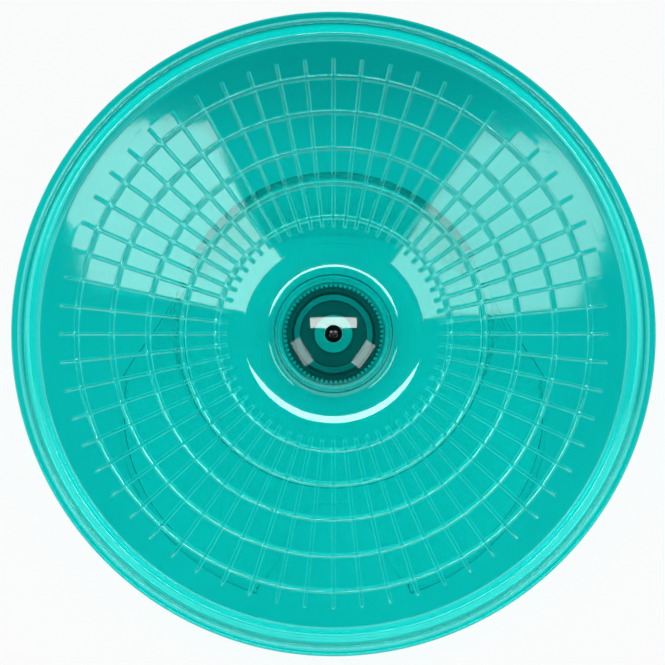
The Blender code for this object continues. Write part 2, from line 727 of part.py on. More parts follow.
def make_base(material, pivot, tilt):
    """The bell: a tilted top lofted down to a round foot, shelled, with three arches."""
    bm = bmesh.new()
    columns = base_columns()
    rows = []
    for radius, height in top_rings():
        row = []
        for angle, _ in columns:
            local = Vector((radius * math.cos(angle), radius * math.sin(angle), height))
            row.append(bm.verts.new(pivot + tilt @ local))
        rows.append(row)
    feet = []
    for angle, _ in columns:
        feet.append(
            Vector(
                (
                    FOOT_RADIUS * math.cos(angle),
                    pivot.y + FOOT_SETBACK + FOOT_RADIUS * math.sin(angle),
                    SOLE_HEIGHT,
                )
            )
        )
    edge = rows[-1]
    for share in SKIRT_ROW_SHARES:
        row = []
        for (_, reach), start, foot in zip(columns, edge, feet):
            down = share * reach
            out = down**FLARE_POWER
            point = start.co.lerp(foot, out)
            point.z = start.co.z + (foot.z - start.co.z) * down
            row.append(bm.verts.new(point))
        rows.append(row)
    for near, far in zip(rows, rows[1:]):
        for column in range(len(columns)):
            after = (column + 1) % len(columns)
            bm.faces.new((near[column], far[column], far[after], near[after]))
    soles = {}
    for column, (_, reach) in enumerate(columns):
        if reach == 1.0:
            soles[column] = bm.verts.new((*rows[-1][column].co.xy, 0.0))
    for column in soles:
        after = (column + 1) % len(columns)
        if after in soles:
            bm.faces.new((rows[-1][column], soles[column], soles[after], rows[-1][after]))
    mesh = bpy.data.meshes.new("base_shell")
    bm.to_mesh(mesh)
    bm.free()
    base = add_piece("base_shell", mesh, material)
    shell = base.modifiers.new("shell", "SOLIDIFY")
    shell.thickness = BASE_WALL
    shell.offset = -1.0
    shell.use_even_offset = True
    shell.use_quality_normals = True


def pivot_place(tilt):
    """Where the middle of the bearing sits: the rim clears the ground, and the whole is centred."""
    section = [tilt @ Vector((0.0, radius, height)) for radius, height in saucer_outline()]
    front = [tilt @ Vector((0.0, -radius, height)) for radius, height in saucer_outline()]
    back_reach = max(point.y for point in section)
    front_reach = min(point.y for point in front)
    lowest = min(point.z for point in front)
    return Vector((0.0, -(back_reach + front_reach) / 2, RIM_CLEARANCE - lowest))


def main():
    clear_scene()
    teal = make_material("teal translucent plastic", (0.0, 0.50, 0.46), 0.12, alpha=0.6)
    black = make_material("black moulded plastic", (0.012, 0.014, 0.015), 0.45)
    rubber = make_material("black rubber", (0.010, 0.012, 0.012), 0.6)
    steel = make_material("bearing steel", (0.55, 0.56, 0.57), 0.25, metallic=1.0)
    pale = make_material("white nylon", (0.80, 0.82, 0.80), 0.40)
    brown = make_material("brass cage", (0.62, 0.44, 0.20), 0.35, metallic=1.0)
    screw_black = make_material("blackened screw steel", (0.02, 0.02, 0.022), 0.35, metallic=1.0)

    tilt = Matrix.Rotation(TILT, 3, "X")
    pivot = pivot_place(tilt)
    axle = add_empty("axle", pivot, (TILT, 0.0, 0.0))
    ball_set = add_empty("ball_set", parent=axle)

    make_base(teal, pivot, tilt)
    make_spindle(steel, axle)
    make_rings(steel, pale, axle)
    make_screw(screw_black, axle)
    make_nut(steel, axle)
    make_races(steel, axle, axle)
    make_seals(rubber, axle)
    make_balls(steel, ball_set)
    make_cage(brown, ball_set)
    make_housing(black, axle)
    make_saucer(teal, axle)
    print("pivot", tuple(round(value, 6) for value in pivot))


main()
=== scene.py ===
# %% [markdown]
# A saucer wheel for a small pet, in clear teal plastic.
# The wheel is a ribbed dish that spins on a ball bearing, on a tilted axle above a bell-shaped base.
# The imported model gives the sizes, the bodies and the joints, and this lesson gives it its looks.
# The dish is seen straight down its axle, so almost everything that shows is light: what the plastic
# mirrors, what it lets through, and how its beads bend both.

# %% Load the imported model
import json
import math

import bmesh
import bpy
import numpy as np
from mathutils import Matrix, Vector


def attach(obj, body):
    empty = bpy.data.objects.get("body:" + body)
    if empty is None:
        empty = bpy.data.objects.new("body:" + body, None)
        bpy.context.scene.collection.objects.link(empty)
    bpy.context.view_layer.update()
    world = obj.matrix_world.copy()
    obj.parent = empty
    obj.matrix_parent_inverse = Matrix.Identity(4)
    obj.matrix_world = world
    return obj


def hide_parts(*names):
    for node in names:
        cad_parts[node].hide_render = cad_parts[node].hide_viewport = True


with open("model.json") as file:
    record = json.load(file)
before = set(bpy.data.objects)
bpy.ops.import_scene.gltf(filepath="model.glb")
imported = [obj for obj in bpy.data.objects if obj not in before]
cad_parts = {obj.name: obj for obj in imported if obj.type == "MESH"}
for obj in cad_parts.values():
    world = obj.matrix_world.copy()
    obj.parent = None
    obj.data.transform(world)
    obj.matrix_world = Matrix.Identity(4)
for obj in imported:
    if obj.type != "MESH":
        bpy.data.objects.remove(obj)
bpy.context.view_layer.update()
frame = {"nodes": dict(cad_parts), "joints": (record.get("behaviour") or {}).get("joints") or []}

MM = 0.001

# %% [markdown]
# Every turned piece of the wheel shares one axle, which leans towards the front.
# Working out each piece in world coordinates would mean tilting every point by hand.
# It is simpler to model each piece upright, with the middle of the bearing at the origin and the
# axle along Z, and to move the finished mesh with one matrix. The joint in the model gives it.

# %% Find the axle
spin_joint = next(joint for joint in frame["joints"] if joint["name"] == "saucer_spin")
pivot = Vector(spin_joint["pos_m"])
axis = Vector(spin_joint["axis"]).normalized()
UP = Vector((0.0, 0.0, 1.0))
tilt = UP.rotation_difference(axis).to_matrix()
axle = Matrix.Translation(pivot) @ tilt.to_4x4()
print("the axle leans", round(math.degrees(UP.angle(axis)), 1), "degrees")

# %% [markdown]
# A finished piece needs the same few things each time: doubled points merged, faces outwards, smooth
# shading with crisp corners, a material, and the body that it moves with.
# One helper does them all, so that a piece's own cell holds only its shape.

# %% Helpers that add and finish a piece
MERGE = 0.01 * MM
CRISP = math.radians(38)


def add_object(name, data):
    """Put a mesh, a lamp or a camera into the scene."""
    added = bpy.data.objects.new(name, data)
    bpy.context.scene.collection.objects.link(added)
    return added


def add_mesh(name, bm):
    """Put a bmesh into the scene as an object."""
    mesh = bpy.data.meshes.new(name)
    bm.to_mesh(mesh)
    bm.free()
    return add_object(name, mesh)


def finish_piece(name, bm, material, body, nodes, place=axle, crisp=CRISP):
    """Turn a bmesh into a named piece that rides on a body and stands for CAD nodes."""
    bmesh.ops.remove_doubles(bm, verts=bm.verts, dist=MERGE)
    bmesh.ops.recalc_face_normals(bm, faces=bm.faces)
    bmesh.ops.transform(bm, matrix=place, verts=bm.verts)
    piece = add_mesh(name, bm)
    piece.data.materials.append(material)
    piece.data.shade_smooth()
    piece.data.set_sharp_from_angle(angle=crisp)
    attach(piece, body)
    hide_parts(*nodes)
    print(name, "has", len(piece.data.polygons), "faces")
    return piece


# %% [markdown]
# Most pieces here come off a lathe or out of a round mould. In Blender they could be cylinders joined
# by Booleans, or a Screw modifier on a drawn line. Spinning half a section in bmesh is the shortest:
# the section stays a list of (radius, height) points that reads like a drawing.

# %% Helpers for turned pieces
FINE = 96
CORNER_SHARE = 0.25
ROUND_STEPS = (0.0, 0.33, 0.67, 1.0)
LONGEST_REACH = 0.45


def spin_section(bm, section, columns, closed=True):
    """Spin a section of (radius, height) points once round the axle."""
    points = [bm.verts.new((radius, 0.0, height)) for radius, height in section]
    pairs = list(zip(points, points[1:]))
    if closed:
        pairs.append((points[-1], points[0]))
    edges = [bm.edges.new(pair) for pair in pairs]
    bmesh.ops.spin(
        bm,
        geom=points + edges,
        cent=(0.0, 0.0, 0.0),
        axis=(0.0, 0.0, 1.0),
        angle=math.tau,
        steps=columns,
        use_merge=True,
    )


def soften(points, passes):
    """Round the corners of a section: each pass cuts a share off both sides of every corner."""
    for _ in range(passes):
        kept = [points[0]]
        for near, far in zip(points, points[1:]):
            kept.append(tuple(a + (b - a) * CORNER_SHARE for a, b in zip(near, far)))
            kept.append(tuple(b + (a - b) * CORNER_SHARE for a, b in zip(near, far)))
        kept.append(points[-1])
        points = kept
    return points


def round_corners(points, size):
    """Replace each corner of a closed section by a short arc that starts a given size away."""
    rounded = []
    count = len(points)
    for number, corner in enumerate(points):
        here = Vector(corner)
        before = Vector(points[number - 1]) - here
        after = Vector(points[(number + 1) % count]) - here
        reach = min(size, before.length * LONGEST_REACH, after.length * LONGEST_REACH)
        start = here + before.normalized() * reach
        end = here + after.normalized() * reach
        for step in ROUND_STEPS:
            low = start.lerp(here, step)
            high = here.lerp(end, step)
            rounded.append(tuple(low.lerp(high, step)))
    return rounded


def ring_section(inner, outer, foot, top, corner):
    """The section of a flat ring with rounded corners."""
    return round_corners([(inner, foot), (outer, foot), (outer, top), (inner, top)], corner)


print("turned pieces have", FINE, "columns")

# %% [markdown]
# Materials start from one Principled shader each, and differ by the nodes that feed it. Noise gives
# the small unevenness that every real surface has: a colour that drifts, a gloss that varies and a
# faint waviness. Adding a node and linking each input would take many lines every time, so one helper
# does both. The others each make one kind of node, so that a material reads as a recipe.

# %% Helpers for materials
NOISE_MIDDLE = (0.3, 0.7)


def new_material(name):
    """A material with its node tree and its Principled shader."""
    material = bpy.data.materials.new(name)
    material.use_nodes = True
    return material, material.node_tree, material.node_tree.nodes["Principled BSDF"]


def feed(tree, node, inputs):
    """Link other nodes' outputs to a node's inputs, or give these a number, a place or a colour."""
    for name, value in inputs.items():
        socket = node.inputs[name]
        if isinstance(value, bpy.types.NodeSocket):
            tree.links.new(value, socket)
        else:
            socket.default_value = (*value, 1.0) if socket.type == "RGBA" else value


def add_node(tree, kind, inputs, **settings):
    """Add a node with its settings and its inputs, and give back its outputs."""
    node = tree.nodes.new("ShaderNode" + kind)
    for setting, value in settings.items():
        setattr(node, setting, value)
    feed(tree, node, inputs)
    return node.outputs


def noise(tree, scale, detail):
    """A noise pattern in the object's own coordinates."""
    place = add_node(tree, "TexCoord", {})["Object"]
    return add_node(tree, "TexNoise", {"Scale": scale, "Detail": detail, "Vector": place})["Fac"]


def calculate(tree, operation, *terms):
    """One sum on numbers and sockets."""
    return add_node(tree, "Math", dict(enumerate(terms)), operation=operation)["Value"]


def mix_numbers(tree, factor, first, second):
    """The first of two numbers where the factor is 0, and the second where it is 1."""
    return add_node(tree, "Mix", {"Factor": factor, "A": first, "B": second})["Result"]


def mix_colours(tree, factor, first, second):
    """The first of two colours where the factor is 0, and the second where it is 1."""
    inputs = {"Factor": factor, "A": first, "B": second}
    return add_node(tree, "Mix", inputs, data_type="RGBA")["Result"]


def spread(tree, source, low, high, span=NOISE_MIDDLE, interpolation="LINEAR"):
    """Stretch a span of a pattern to run from low to high."""
    inputs = {"Value": source, "From Min": span[0], "From Max": span[1], "To Min": low, "To Max": high}
    return add_node(tree, "MapRange", inputs, interpolation_type=interpolation)["Result"]


def separate(tree, source):
    """The X, Y and Z of a place."""
    return add_node(tree, "SeparateXYZ", {"Vector": source})


def from_axle(tree):
    """How far a point lies from the axle, and how high along it."""
    place = add_node(tree, "TexCoord", {})["Object"]
    inputs = {"Vector": place, "Location": pivot, "Rotation": tilt.to_euler()}
    upright = add_node(tree, "Mapping", inputs, vector_type="TEXTURE")["Vector"]
    across, deep, along = separate(tree, upright)
    flat = add_node(tree, "CombineXYZ", {"X": across, "Y": deep})["Vector"]
    return add_node(tree, "VectorMath", {0: flat}, operation="LENGTH")["Value"], along


def vary(tree, shader, source, dark, light, roughness):
    """Let a pattern vary the colour between two shades, and the gloss between two roughnesses."""
    colour = mix_colours(tree, spread(tree, source, 0.0, 1.0), dark, light)
    feed(tree, shader, {"Base Color": colour, "Roughness": spread(tree, source, *roughness)})


def add_bump(tree, shader, source, height, strength):
    """Roughen the shader's normal with a pattern of a given height."""
    bump = add_node(tree, "Bump", {"Strength": strength, "Distance": height, "Height": source})
    feed(tree, shader, {"Normal": bump["Normal"]})


def mix_surface(tree, factor, first, second):
    """Show the first of two shaders where the factor is 0, and the second where it is 1."""
    mixed = add_node(tree, "MixShader", {0: factor, 1: first, 2: second})["Shader"]
    feed(tree, tree.nodes["Material Output"], {"Surface": mixed})


print("noise is used from", NOISE_MIDDLE[0], "to", NOISE_MIDDLE[1])

# %% [markdown]
# The dish's colour carries painted light and shade. The rolled rim is painted in pale and dark bands,
# standing in for the light that it gathers and the shade in its groove, the hub is a little darker,
# and a painted highlight makes the edges of the beads paler than the panels. Painting bands by hand
# would need a picture. A colour ramp over the distance from the axle draws the painted bands, and a
# number that the mesh carries at each point, its painted highlight, draws the beads' sides. Each stop
# is a distance in mm, how bright the painted light or shade makes the wall there, and how pale a
# painted highlight makes it.

# %% Painted light and shade in rings on the plastic
PAINTED_BANDS_REACH = 100.0 * MM
PAINTED_BANDS_LEVEL = 2.0
# The colour of every painted highlight, the layer that carries the beads' painted highlights, and how
# strongly they show.
PAINTED_HIGHLIGHT_COLOUR = (0.22, 0.86, 0.82)
PAINTED_HIGHLIGHT_LAYER = "painted_bead_highlight"
PAINTED_HIGHLIGHT_SHARE = 0.7
# Painted bands round the axle: the bright stops on the rim paint the light that it gathers, the darker
# groove's stops paint its shade, the pale stops paint thin highlight lines, and the first stops make the
# hub a little darker.
PAINTED_RIM_BANDS = (
    (14.8, 0.82, 0.0), (18.0, 0.86, 0.0), (22.0, 0.95, 0.0), (25.0, 1.0, 0.0),
    (86.9, 1.0, 0.0), (87.1, 1.0, 0.8), (87.5, 1.0, 0.8), (87.7, 1.15, 0.1),
    (88.4, 1.2, 0.0), (89.0, 1.5, 0.0), (90.6, 1.5, 0.0), (91.3, 0.85, 0.0),
    (92.2, 0.85, 0.0), (92.45, 1.0, 0.8), (92.85, 1.0, 0.8), (93.1, 1.12, 0.0),
    (94.9, 1.12, 0.0), (95.1, 1.2, 0.5),
)


def painted_band_ramp(tree):
    """A ramp over the distance from the axle. Its colour is the painted light or shade of the wall, as
    a share of the level that it is scaled by, and its alpha is how pale a painted highlight makes the
    wall."""
    away, _ = from_axle(tree)
    ramp = tree.nodes.new("ShaderNodeValToRGB")
    feed(tree, ramp, {"Fac": spread(tree, away, 0.0, 1.0, (0.0, PAINTED_BANDS_REACH))})
    stops = ramp.color_ramp.elements
    for number, (distance, level, paleness) in enumerate(PAINTED_RIM_BANDS):
        place = distance * MM / PAINTED_BANDS_REACH
        stop = stops[number] if number < 2 else stops.new(place)
        stop.position = place
        stop.color = (*[level / PAINTED_BANDS_LEVEL] * 3, paleness)
    return ramp.outputs


def add_painted_bands(tree, colour):
    """Paint light and shade into a colour in rings round the axle, and paint a pale highlight along the
    beads.
    """
    ramp = painted_band_ramp(tree)
    bright = add_node(tree, "VectorMath", {0: ramp["Color"], "Scale": PAINTED_BANDS_LEVEL}, operation="SCALE")
    tinted = add_node(tree, "VectorMath", {0: colour, 1: bright["Vector"]}, operation="MULTIPLY")
    # Painted highlights: the beads' sides and the rim's pale stops are mixed towards a pale colour.
    beads = add_node(tree, "Attribute", {}, attribute_name=PAINTED_HIGHLIGHT_LAYER)["Fac"]
    paleness = calculate(tree, "MULTIPLY_ADD", beads, PAINTED_HIGHLIGHT_SHARE, ramp["Alpha"])
    return mix_colours(tree, paleness, tinted["Vector"], PAINTED_HIGHLIGHT_COLOUR)


print(len(PAINTED_RIM_BANDS), "stops between the hub and the rim")

# %% [markdown]
# The dish and the base are moulded in clear teal plastic. It is glossy, it bends light as glass does,
# and a little haze in it scatters some of the light back.
# Glass alone would need light that the renderer can only find by chance, so lamps would leave a dark
# shadow under it. For shadow rays the shader gives way to a tinted see-through one: the floor under
# the dish is then lit through the plastic, as it really is.

# %% Clear teal plastic
TEAL_DEEP = (0.001, 0.50, 0.465)
TEAL_PALE = (0.002, 0.535, 0.495)
# Painted light: the base is the same teal plastic as the dish, but its shades are painted almost white, so
# that where the dish is seen over it, it darkens the teal only a little.
BASE_LIGHTENED_DEEP = (0.68, 0.975, 0.965)
BASE_LIGHTENED_PALE = (0.74, 0.985, 0.975)
SHADOW_TINT = (0.25, 0.80, 0.78)
COLOUR_DRIFT = 18.0
GLOSS_DRIFT = 60.0
MOULD_WAVES = 45.0


def clear_plastic(name, deep, pale, clearness, roughness, bending=1.5, painted_bands=False):
    """Clear plastic between two shades, with how much of it is clear rather than hazy."""
    material, tree, shader = new_material(name)
    shade = spread(tree, noise(tree, COLOUR_DRIFT, 2.0), 0.0, 1.0)
    colour = mix_colours(tree, shade, deep, pale)
    # The dish's colour gets the painted bands of light and shade, and the painted highlights along its
    # beads.
    if painted_bands:
        colour = add_painted_bands(tree, colour)
    gloss = spread(tree, noise(tree, GLOSS_DRIFT, 4.0), *roughness)
    feed(tree, shader, {"Base Color": colour, "Roughness": gloss, "IOR": bending})
    feed(tree, shader, {"Transmission Weight": clearness})
    add_bump(tree, shader, noise(tree, MOULD_WAVES, 1.0), 0.02 * MM, 0.6)
    see_through = add_node(tree, "BsdfTransparent", {"Color": SHADOW_TINT})["BSDF"]
    shadow_ray = add_node(tree, "LightPath", {})["Is Shadow Ray"]
    mix_surface(tree, shadow_ray, shader.outputs["BSDF"], see_through)
    return material


saucer_plastic = clear_plastic(
    "clear teal plastic with painted bands, dish", TEAL_DEEP, TEAL_PALE, 0.97, (0.02, 0.05), painted_bands=True
)
lightened_base_plastic = clear_plastic(
    "clear teal plastic, base, painted paler", BASE_LIGHTENED_DEEP, BASE_LIGHTENED_PALE, 0.95, (0.16, 0.24), bending=1.12
)
print("made", saucer_plastic.name, "and", lightened_base_plastic.name)

# %% [markdown]
# The bearing's housing is black moulded plastic: not quite black, with a fine grain from the mould
# that breaks up its shine. The seals are softer and duller, and painted a lighter grey than black
# rubber: a painted reflection, standing in for the light that the dome's inner skin throws over them.
# A washer of white nylon under the screw is made in the same way.

# %% Black plastic, rubber and nylon
DULL_DRIFT = 220.0


def grained(name, dark, light, roughness, grain, height):
    """A dull material whose colour and gloss drift a little, with a fine grain."""
    material, tree, shader = new_material(name)
    vary(tree, shader, noise(tree, DULL_DRIFT, 3.0), dark, light, roughness)
    add_bump(tree, shader, noise(tree, grain, 2.0), height, 0.5)
    return material


black_plastic = grained(
    "black moulded plastic", (0.010, 0.012, 0.013), (0.022, 0.024, 0.026), (0.34, 0.5), 2600.0, 0.03 * MM
)
# Painted reflection: the seal rubber is a lighter grey than black rubber, standing in for the light that
# the dome's inner skin reflects over the seals.
lightened_seal_rubber = grained(
    "black seal rubber, painted lighter", (0.062, 0.070, 0.074), (0.095, 0.104, 0.110), (0.5, 0.65), 3200.0, 0.02 * MM
)
white_nylon = grained(
    "white nylon", (0.70, 0.73, 0.71), (0.84, 0.86, 0.84), (0.32, 0.45), 1400.0, 0.01 * MM
)
print("made", black_plastic.name, lightened_seal_rubber.name, white_nylon.name, sep=", ")

# %% [markdown]
# The metal pieces were turned or ground, so their surfaces carry fine lines that run round the axle.
# A noise pattern stretched along the axle would give streaks the wrong way. Measuring the distance
# from the axle, and feeding that to the noise, gives rings that follow the tool.

# %% Turned metal
GROOVE_SHADE = 0.82


def turned_metal(name, colour, roughness, lines, height):
    """Metal with fine tool lines round the axle."""
    material, tree, shader = new_material(name)
    away, along = from_axle(tree)
    rings = add_node(tree, "CombineXYZ", {"X": away, "Y": along})["Vector"]
    pattern = add_node(tree, "TexNoise", {"Scale": lines, "Detail": 4.0, "Vector": rings})["Fac"]
    dark = tuple(channel * GROOVE_SHADE for channel in colour)
    vary(tree, shader, pattern, dark, colour, roughness)
    feed(tree, shader, {"Metallic": 1.0})
    add_bump(tree, shader, pattern, height, 0.4)
    return material


# Painted shade: the bearing steel is much darker than bare steel, standing in for the shade that it sits
# in under the dome.
darkened_bearing_steel = turned_metal("ground bearing steel", (0.21, 0.215, 0.22), (0.36, 0.48), 2500.0, 0.004 * MM)
plated_steel = turned_metal("zinc plated steel", (0.58, 0.59, 0.60), (0.24, 0.40), 1800.0, 0.008 * MM)
cage_brass = turned_metal("stamped brass", (0.66, 0.47, 0.20), (0.25, 0.40), 1500.0, 0.008 * MM)
black_steel = turned_metal(
    "blackened screw steel", (0.030, 0.031, 0.033), (0.12, 0.22), 2000.0, 0.003 * MM
)
print("made", darkened_bearing_steel.name, plated_steel.name, cage_brass.name, black_steel.name, sep=", ")

# %% [markdown]
# The sizes below are the wheel's own, upright about the middle of its bearing. Pieces that fit each
# other leave the same small gap, and what sits on something takes its height from it.

# %% Sizes of the axle's stack
FIT = 0.3 * MM
BORE_RADIUS = 4.0 * MM
BEARING_RADIUS = 12.0 * MM
HALF_BEARING = 4.0 * MM
BALL_RADIUS = 2.38125 * MM
BALL_COUNT = 7
PITCH_RADIUS = (BORE_RADIUS + BEARING_RADIUS) / 2
GROOVE_RADIUS = BALL_RADIUS + 0.15 * MM
INNER_SHOULDER = PITCH_RADIUS - 2.0 * MM
OUTER_SHOULDER = PITCH_RADIUS + 2.1 * MM
HOUSING_BORE = BEARING_RADIUS + FIT
HOUSING_RADIUS = HOUSING_BORE + 2.7 * MM
HOUSING_COLLAR = HOUSING_BORE + 1.3 * MM
HOUSING_LIP_RADIUS = HOUSING_BORE - 1.6 * MM
HOUSING_LIP = 1.2 * MM
HOUSING_FOOT = -(HALF_BEARING + FIT + HOUSING_LIP)
HOUSING_SHOULDER = HALF_BEARING + 0.2 * MM
COLLAR_TOP = HALF_BEARING + 0.9 * MM
SPINDLE_RADIUS = BORE_RADIUS - FIT
CLAMP_FOOT = HALF_BEARING + FIT
CLAMP_THICKNESS = 0.8 * MM
SCREW_HEAD_FOOT = CLAMP_FOOT + CLAMP_THICKNESS + FIT
SCREW_HEAD_RADIUS = 2.70 * MM
HOLE_RADIUS = 2.75 * MM
SCREW_HEAD_HEIGHT = 1.9 * MM
SCREW_RADIUS = 1.5 * MM
SPACER_TOP = -(HALF_BEARING + FIT)
SPACER_FOOT = SPACER_TOP - 3.9 * MM
BOSS_TOP = SPACER_FOOT - FIT
HEAD_TOP = SCREW_HEAD_FOOT + SCREW_HEAD_HEIGHT
print("the stack runs from", round(BOSS_TOP / MM, 1), "to", round(HEAD_TOP / MM, 1), "mm")

# %% [markdown]
# The hub is a shallow dome with a soft shoulder, which sweeps down through a concave fillet onto a
# nearly flat terrace. The terrace curls up into the running surface. The dome's inner skin follows
# the outer one a wall's thickness below, and a socket under it holds the bearing's housing.
# A subdivision surface would round all of this, but not by known amounts, so the section is drawn
# with arcs whose radii are the mould's. Each arc starts at the slope where the last one ends.

# %% Section of the hub
WALL = 1.8 * MM
DISH_SLOPE = math.radians(17)
SHOULDER_SLOPE = math.radians(49.6)
TERRACE_SLOPE = math.radians(8)
DOME_CURVE = 45.0 * MM
HEAD_ROOM = 0.8 * MM
SOCKET_RADIUS = HOUSING_RADIUS + FIT
SOCKET_OUTER = SOCKET_RADIUS + WALL
DOME_CENTRE = HOUSING_SHOULDER + HEAD_ROOM - math.sqrt((DOME_CURVE - WALL) ** 2 - SOCKET_RADIUS**2)
SHOULDER_RADIUS = SOCKET_OUTER - WALL / 2
SHOULDER_ANGLE = math.asin(SHOULDER_RADIUS / DOME_CURVE)
SHOULDER_FILLET = 1.5 * MM
HUB_FILLET = 5.2 * MM
TERRACE_FLAT = 2.3 * MM
TERRACE_CURVE = 28.0 * MM
DISH_FILLET = 2.5 * MM
QUARTER = math.pi / 2


def arc(centre, radius, start, end, count):
    """Points on an arc in the (radius, height) plane, both ends included."""
    return [
        (centre[0] + radius * math.cos(angle), centre[1] + radius * math.sin(angle))
        for angle in np.linspace(start, end, count)
    ]


def step_on(centre, slope, reach):
    """The next arc's centre: a reach away from the last one, along the normal where they meet."""
    return centre[0] + reach * math.sin(slope), centre[1] + reach * math.cos(slope)


def hub_section(depth):
    """The hub from its hole to the foot of the dish, at a depth below its outer skin."""
    dome = (0.0, DOME_CENTRE)
    hole = math.asin(HOLE_RADIUS / (DOME_CURVE - depth))
    section = arc(dome, DOME_CURVE - depth, QUARTER - hole, QUARTER - SHOULDER_ANGLE, 13)
    shoulder = step_on(dome, SHOULDER_ANGLE, DOME_CURVE - SHOULDER_FILLET)
    turns = (QUARTER - SHOULDER_ANGLE, QUARTER - SHOULDER_SLOPE)
    section += arc(shoulder, SHOULDER_FILLET - depth, *turns, 5)[1:]
    fillet = step_on(shoulder, SHOULDER_SLOPE, SHOULDER_FILLET + HUB_FILLET)
    section += arc(fillet, HUB_FILLET + depth, -QUARTER - SHOULDER_SLOPE, -QUARTER, 10)
    terrace = (fillet[0] + TERRACE_FLAT, fillet[1] + TERRACE_CURVE - HUB_FILLET)
    section += arc(terrace, TERRACE_CURVE + depth, -QUARTER, TERRACE_SLOPE - QUARTER, 7)
    foot = step_on(terrace, math.pi - TERRACE_SLOPE, TERRACE_CURVE - DISH_FILLET)
    section += arc(foot, DISH_FILLET + depth, TERRACE_SLOPE - QUARTER, DISH_SLOPE - QUARTER, 5)[1:]
    return section


HUB_FOOT_RADIUS, HUB_FOOT_HEIGHT = hub_section(0.0)[-1]


def dish_height(radius):
    """Height of the running surface between its beads."""
    return HUB_FOOT_HEIGHT + (radius - HUB_FOOT_RADIUS) * math.tan(DISH_SLOPE)


def dome_underside(radius):
    """Height of the dome's inner skin."""
    return DOME_CENTRE + math.sqrt((DOME_CURVE - WALL) ** 2 - radius**2)


print("hub foot at", round(HUB_FOOT_RADIUS / MM, 2), round(HUB_FOOT_HEIGHT / MM, 2), "mm")
dome_rise = DOME_CENTRE + DOME_CURVE - HUB_FOOT_HEIGHT
print("the dome is", round(dome_rise / MM, 1), "mm above the dish's foot")

# %% [markdown]
# The rim is rolled: from the dish it rises to a rounded crest, dips into a groove, and ends in a thin
# flange. Its points are shares of its width and of its rise, and a round of corner cutting makes the
# mould's soft curve out of them.

# %% Section of the rim
RIM_RADIUS = 95.25 * MM
RIM_WIDTH = 8.55 * MM
RIM_RISE = 5.0 * MM
DISH_RADIUS = RIM_RADIUS - RIM_WIDTH
RIM_TOP_SHARES = (
    (0.04, 0.02), (0.11, 0.50), (0.14, 0.70), (0.19, 0.81), (0.26, 0.84), (0.34, 0.79),
    (0.43, 0.66), (0.52, 0.51), (0.60, 0.43), (0.65, 0.44), (0.68, 0.54), (0.71, 0.58),
    (0.74, 0.54), (0.77, 0.47), (0.86, 0.43), (0.96, 0.38), (1.00, 0.30),
)
RIM_UNDER_SHARES = (
    (0.995, 0.14), (0.95, 0.08), (0.80, 0.10), (0.64, 0.09), (0.52, 0.10),
    (0.42, 0.09), (0.34, 0.05), (0.26, -0.02), (0.18, -0.11), (0.09, -0.23),
)


def rim_points(shares):
    """Rim points from shares of its width and its rise."""
    foot = dish_height(DISH_RADIUS)
    return [(DISH_RADIUS + across * RIM_WIDTH, foot + up * RIM_RISE) for across, up in shares]


edge = max((axle.inverted() @ vert.co).xy.length for vert in frame["nodes"]["saucer"].data.vertices)
print("rim radius here", round(RIM_RADIUS / MM, 2), "and in the model", round(edge / MM, 2), "mm")

# %% [markdown]
# Sixty ribs and five rings stand on the running surface, so that small feet don't slip. Each is a
# low round bead. A bump map would only pretend, and the light that the beads bend is what the eye
# sees first on this wheel, so they are real geometry, and a height formula lifts them.

# %% Places and height of the beads
RIB_COUNT = 60
RIB_STEP = math.tau / RIB_COUNT
HALF_RIB = 0.68 * MM
HALF_RING = 0.95 * MM
BEAD_HEIGHT = 0.52 * MM
BEAD_POWER = 4
# Painted highlight: where across a bead its pale line lies, and how wide it is, as shares of the bead's
# half.
PAINTED_HIGHLIGHT_PLACE = 0.76
PAINTED_HIGHLIGHT_WIDTH = 0.2
RIB_START = HUB_FOOT_RADIUS + 4.4 * MM
RIB_END = DISH_RADIUS - 4.9 * MM
RING_START = RIB_START + 3.3 * MM
RING_END = RIB_END - 5.5 * MM
RING_SHARES = (0.0, 0.243, 0.493, 0.752, 1.0)
rings = [RING_START + share * (RING_END - RING_START) for share in RING_SHARES]


def bead_reaches(radius, turn):
    """How far a point lies from the middle of its rib and of its ring, as shares of their halves."""
    aside = radius * math.sin(abs(turn))
    beyond = max(RIB_START + HALF_RIB - radius, radius - RIB_END + HALF_RIB, 0.0)
    ring = min(abs(radius - place) for place in rings)
    return math.hypot(aside, beyond) / HALF_RIB, ring / HALF_RING


def lift(radius, turn):
    """How far the beads stand above the dish, at a radius and a turn from the nearest rib."""
    reaches = bead_reaches(radius, turn)
    return max(BEAD_HEIGHT * (1.0 - min(reach, 1.0) ** BEAD_POWER) for reach in reaches)


def painted_highlight_at(radius, turn):
    """Painted highlight on the plastic: a narrow pale line along each side of a bead."""
    reaches = bead_reaches(radius, turn)
    return max(max(0.0, 1.0 - abs(reach - PAINTED_HIGHLIGHT_PLACE) / PAINTED_HIGHLIGHT_WIDTH) for reach in reaches)


print("ribs run from", round(RIB_START / MM, 1), "to", round(RIB_END / MM, 1), "mm from the axle")
print("rings lie at", [round(place / MM, 1) for place in rings], "mm")

# %% [markdown]
# One sector from rib to rib is a small grid. Its columns gather at the ribs and its rows at the
# rings, so that few faces are wasted on the flat panels. Each point notes whether it lies on a flat
# panel and how much painted highlight it gets near a bead's edge, because the shading and the plastic
# need both later.

# %% One sector of the running surface
PANEL_LAYER = "flat_panel"
BEAD_SHARES = (0.0, 0.5, 0.76, 0.9, 1.0)
END_SHARES = (0.0, 0.1, 0.24, 0.5, 1.0)
FLAT_EDGE = 0.2 * MM
BAND_EDGE = 1.6 * MM
COLUMNS_A_RIB = 8
COLUMN_SHARES = (0.0, 0.46, 0.76, 1.0)


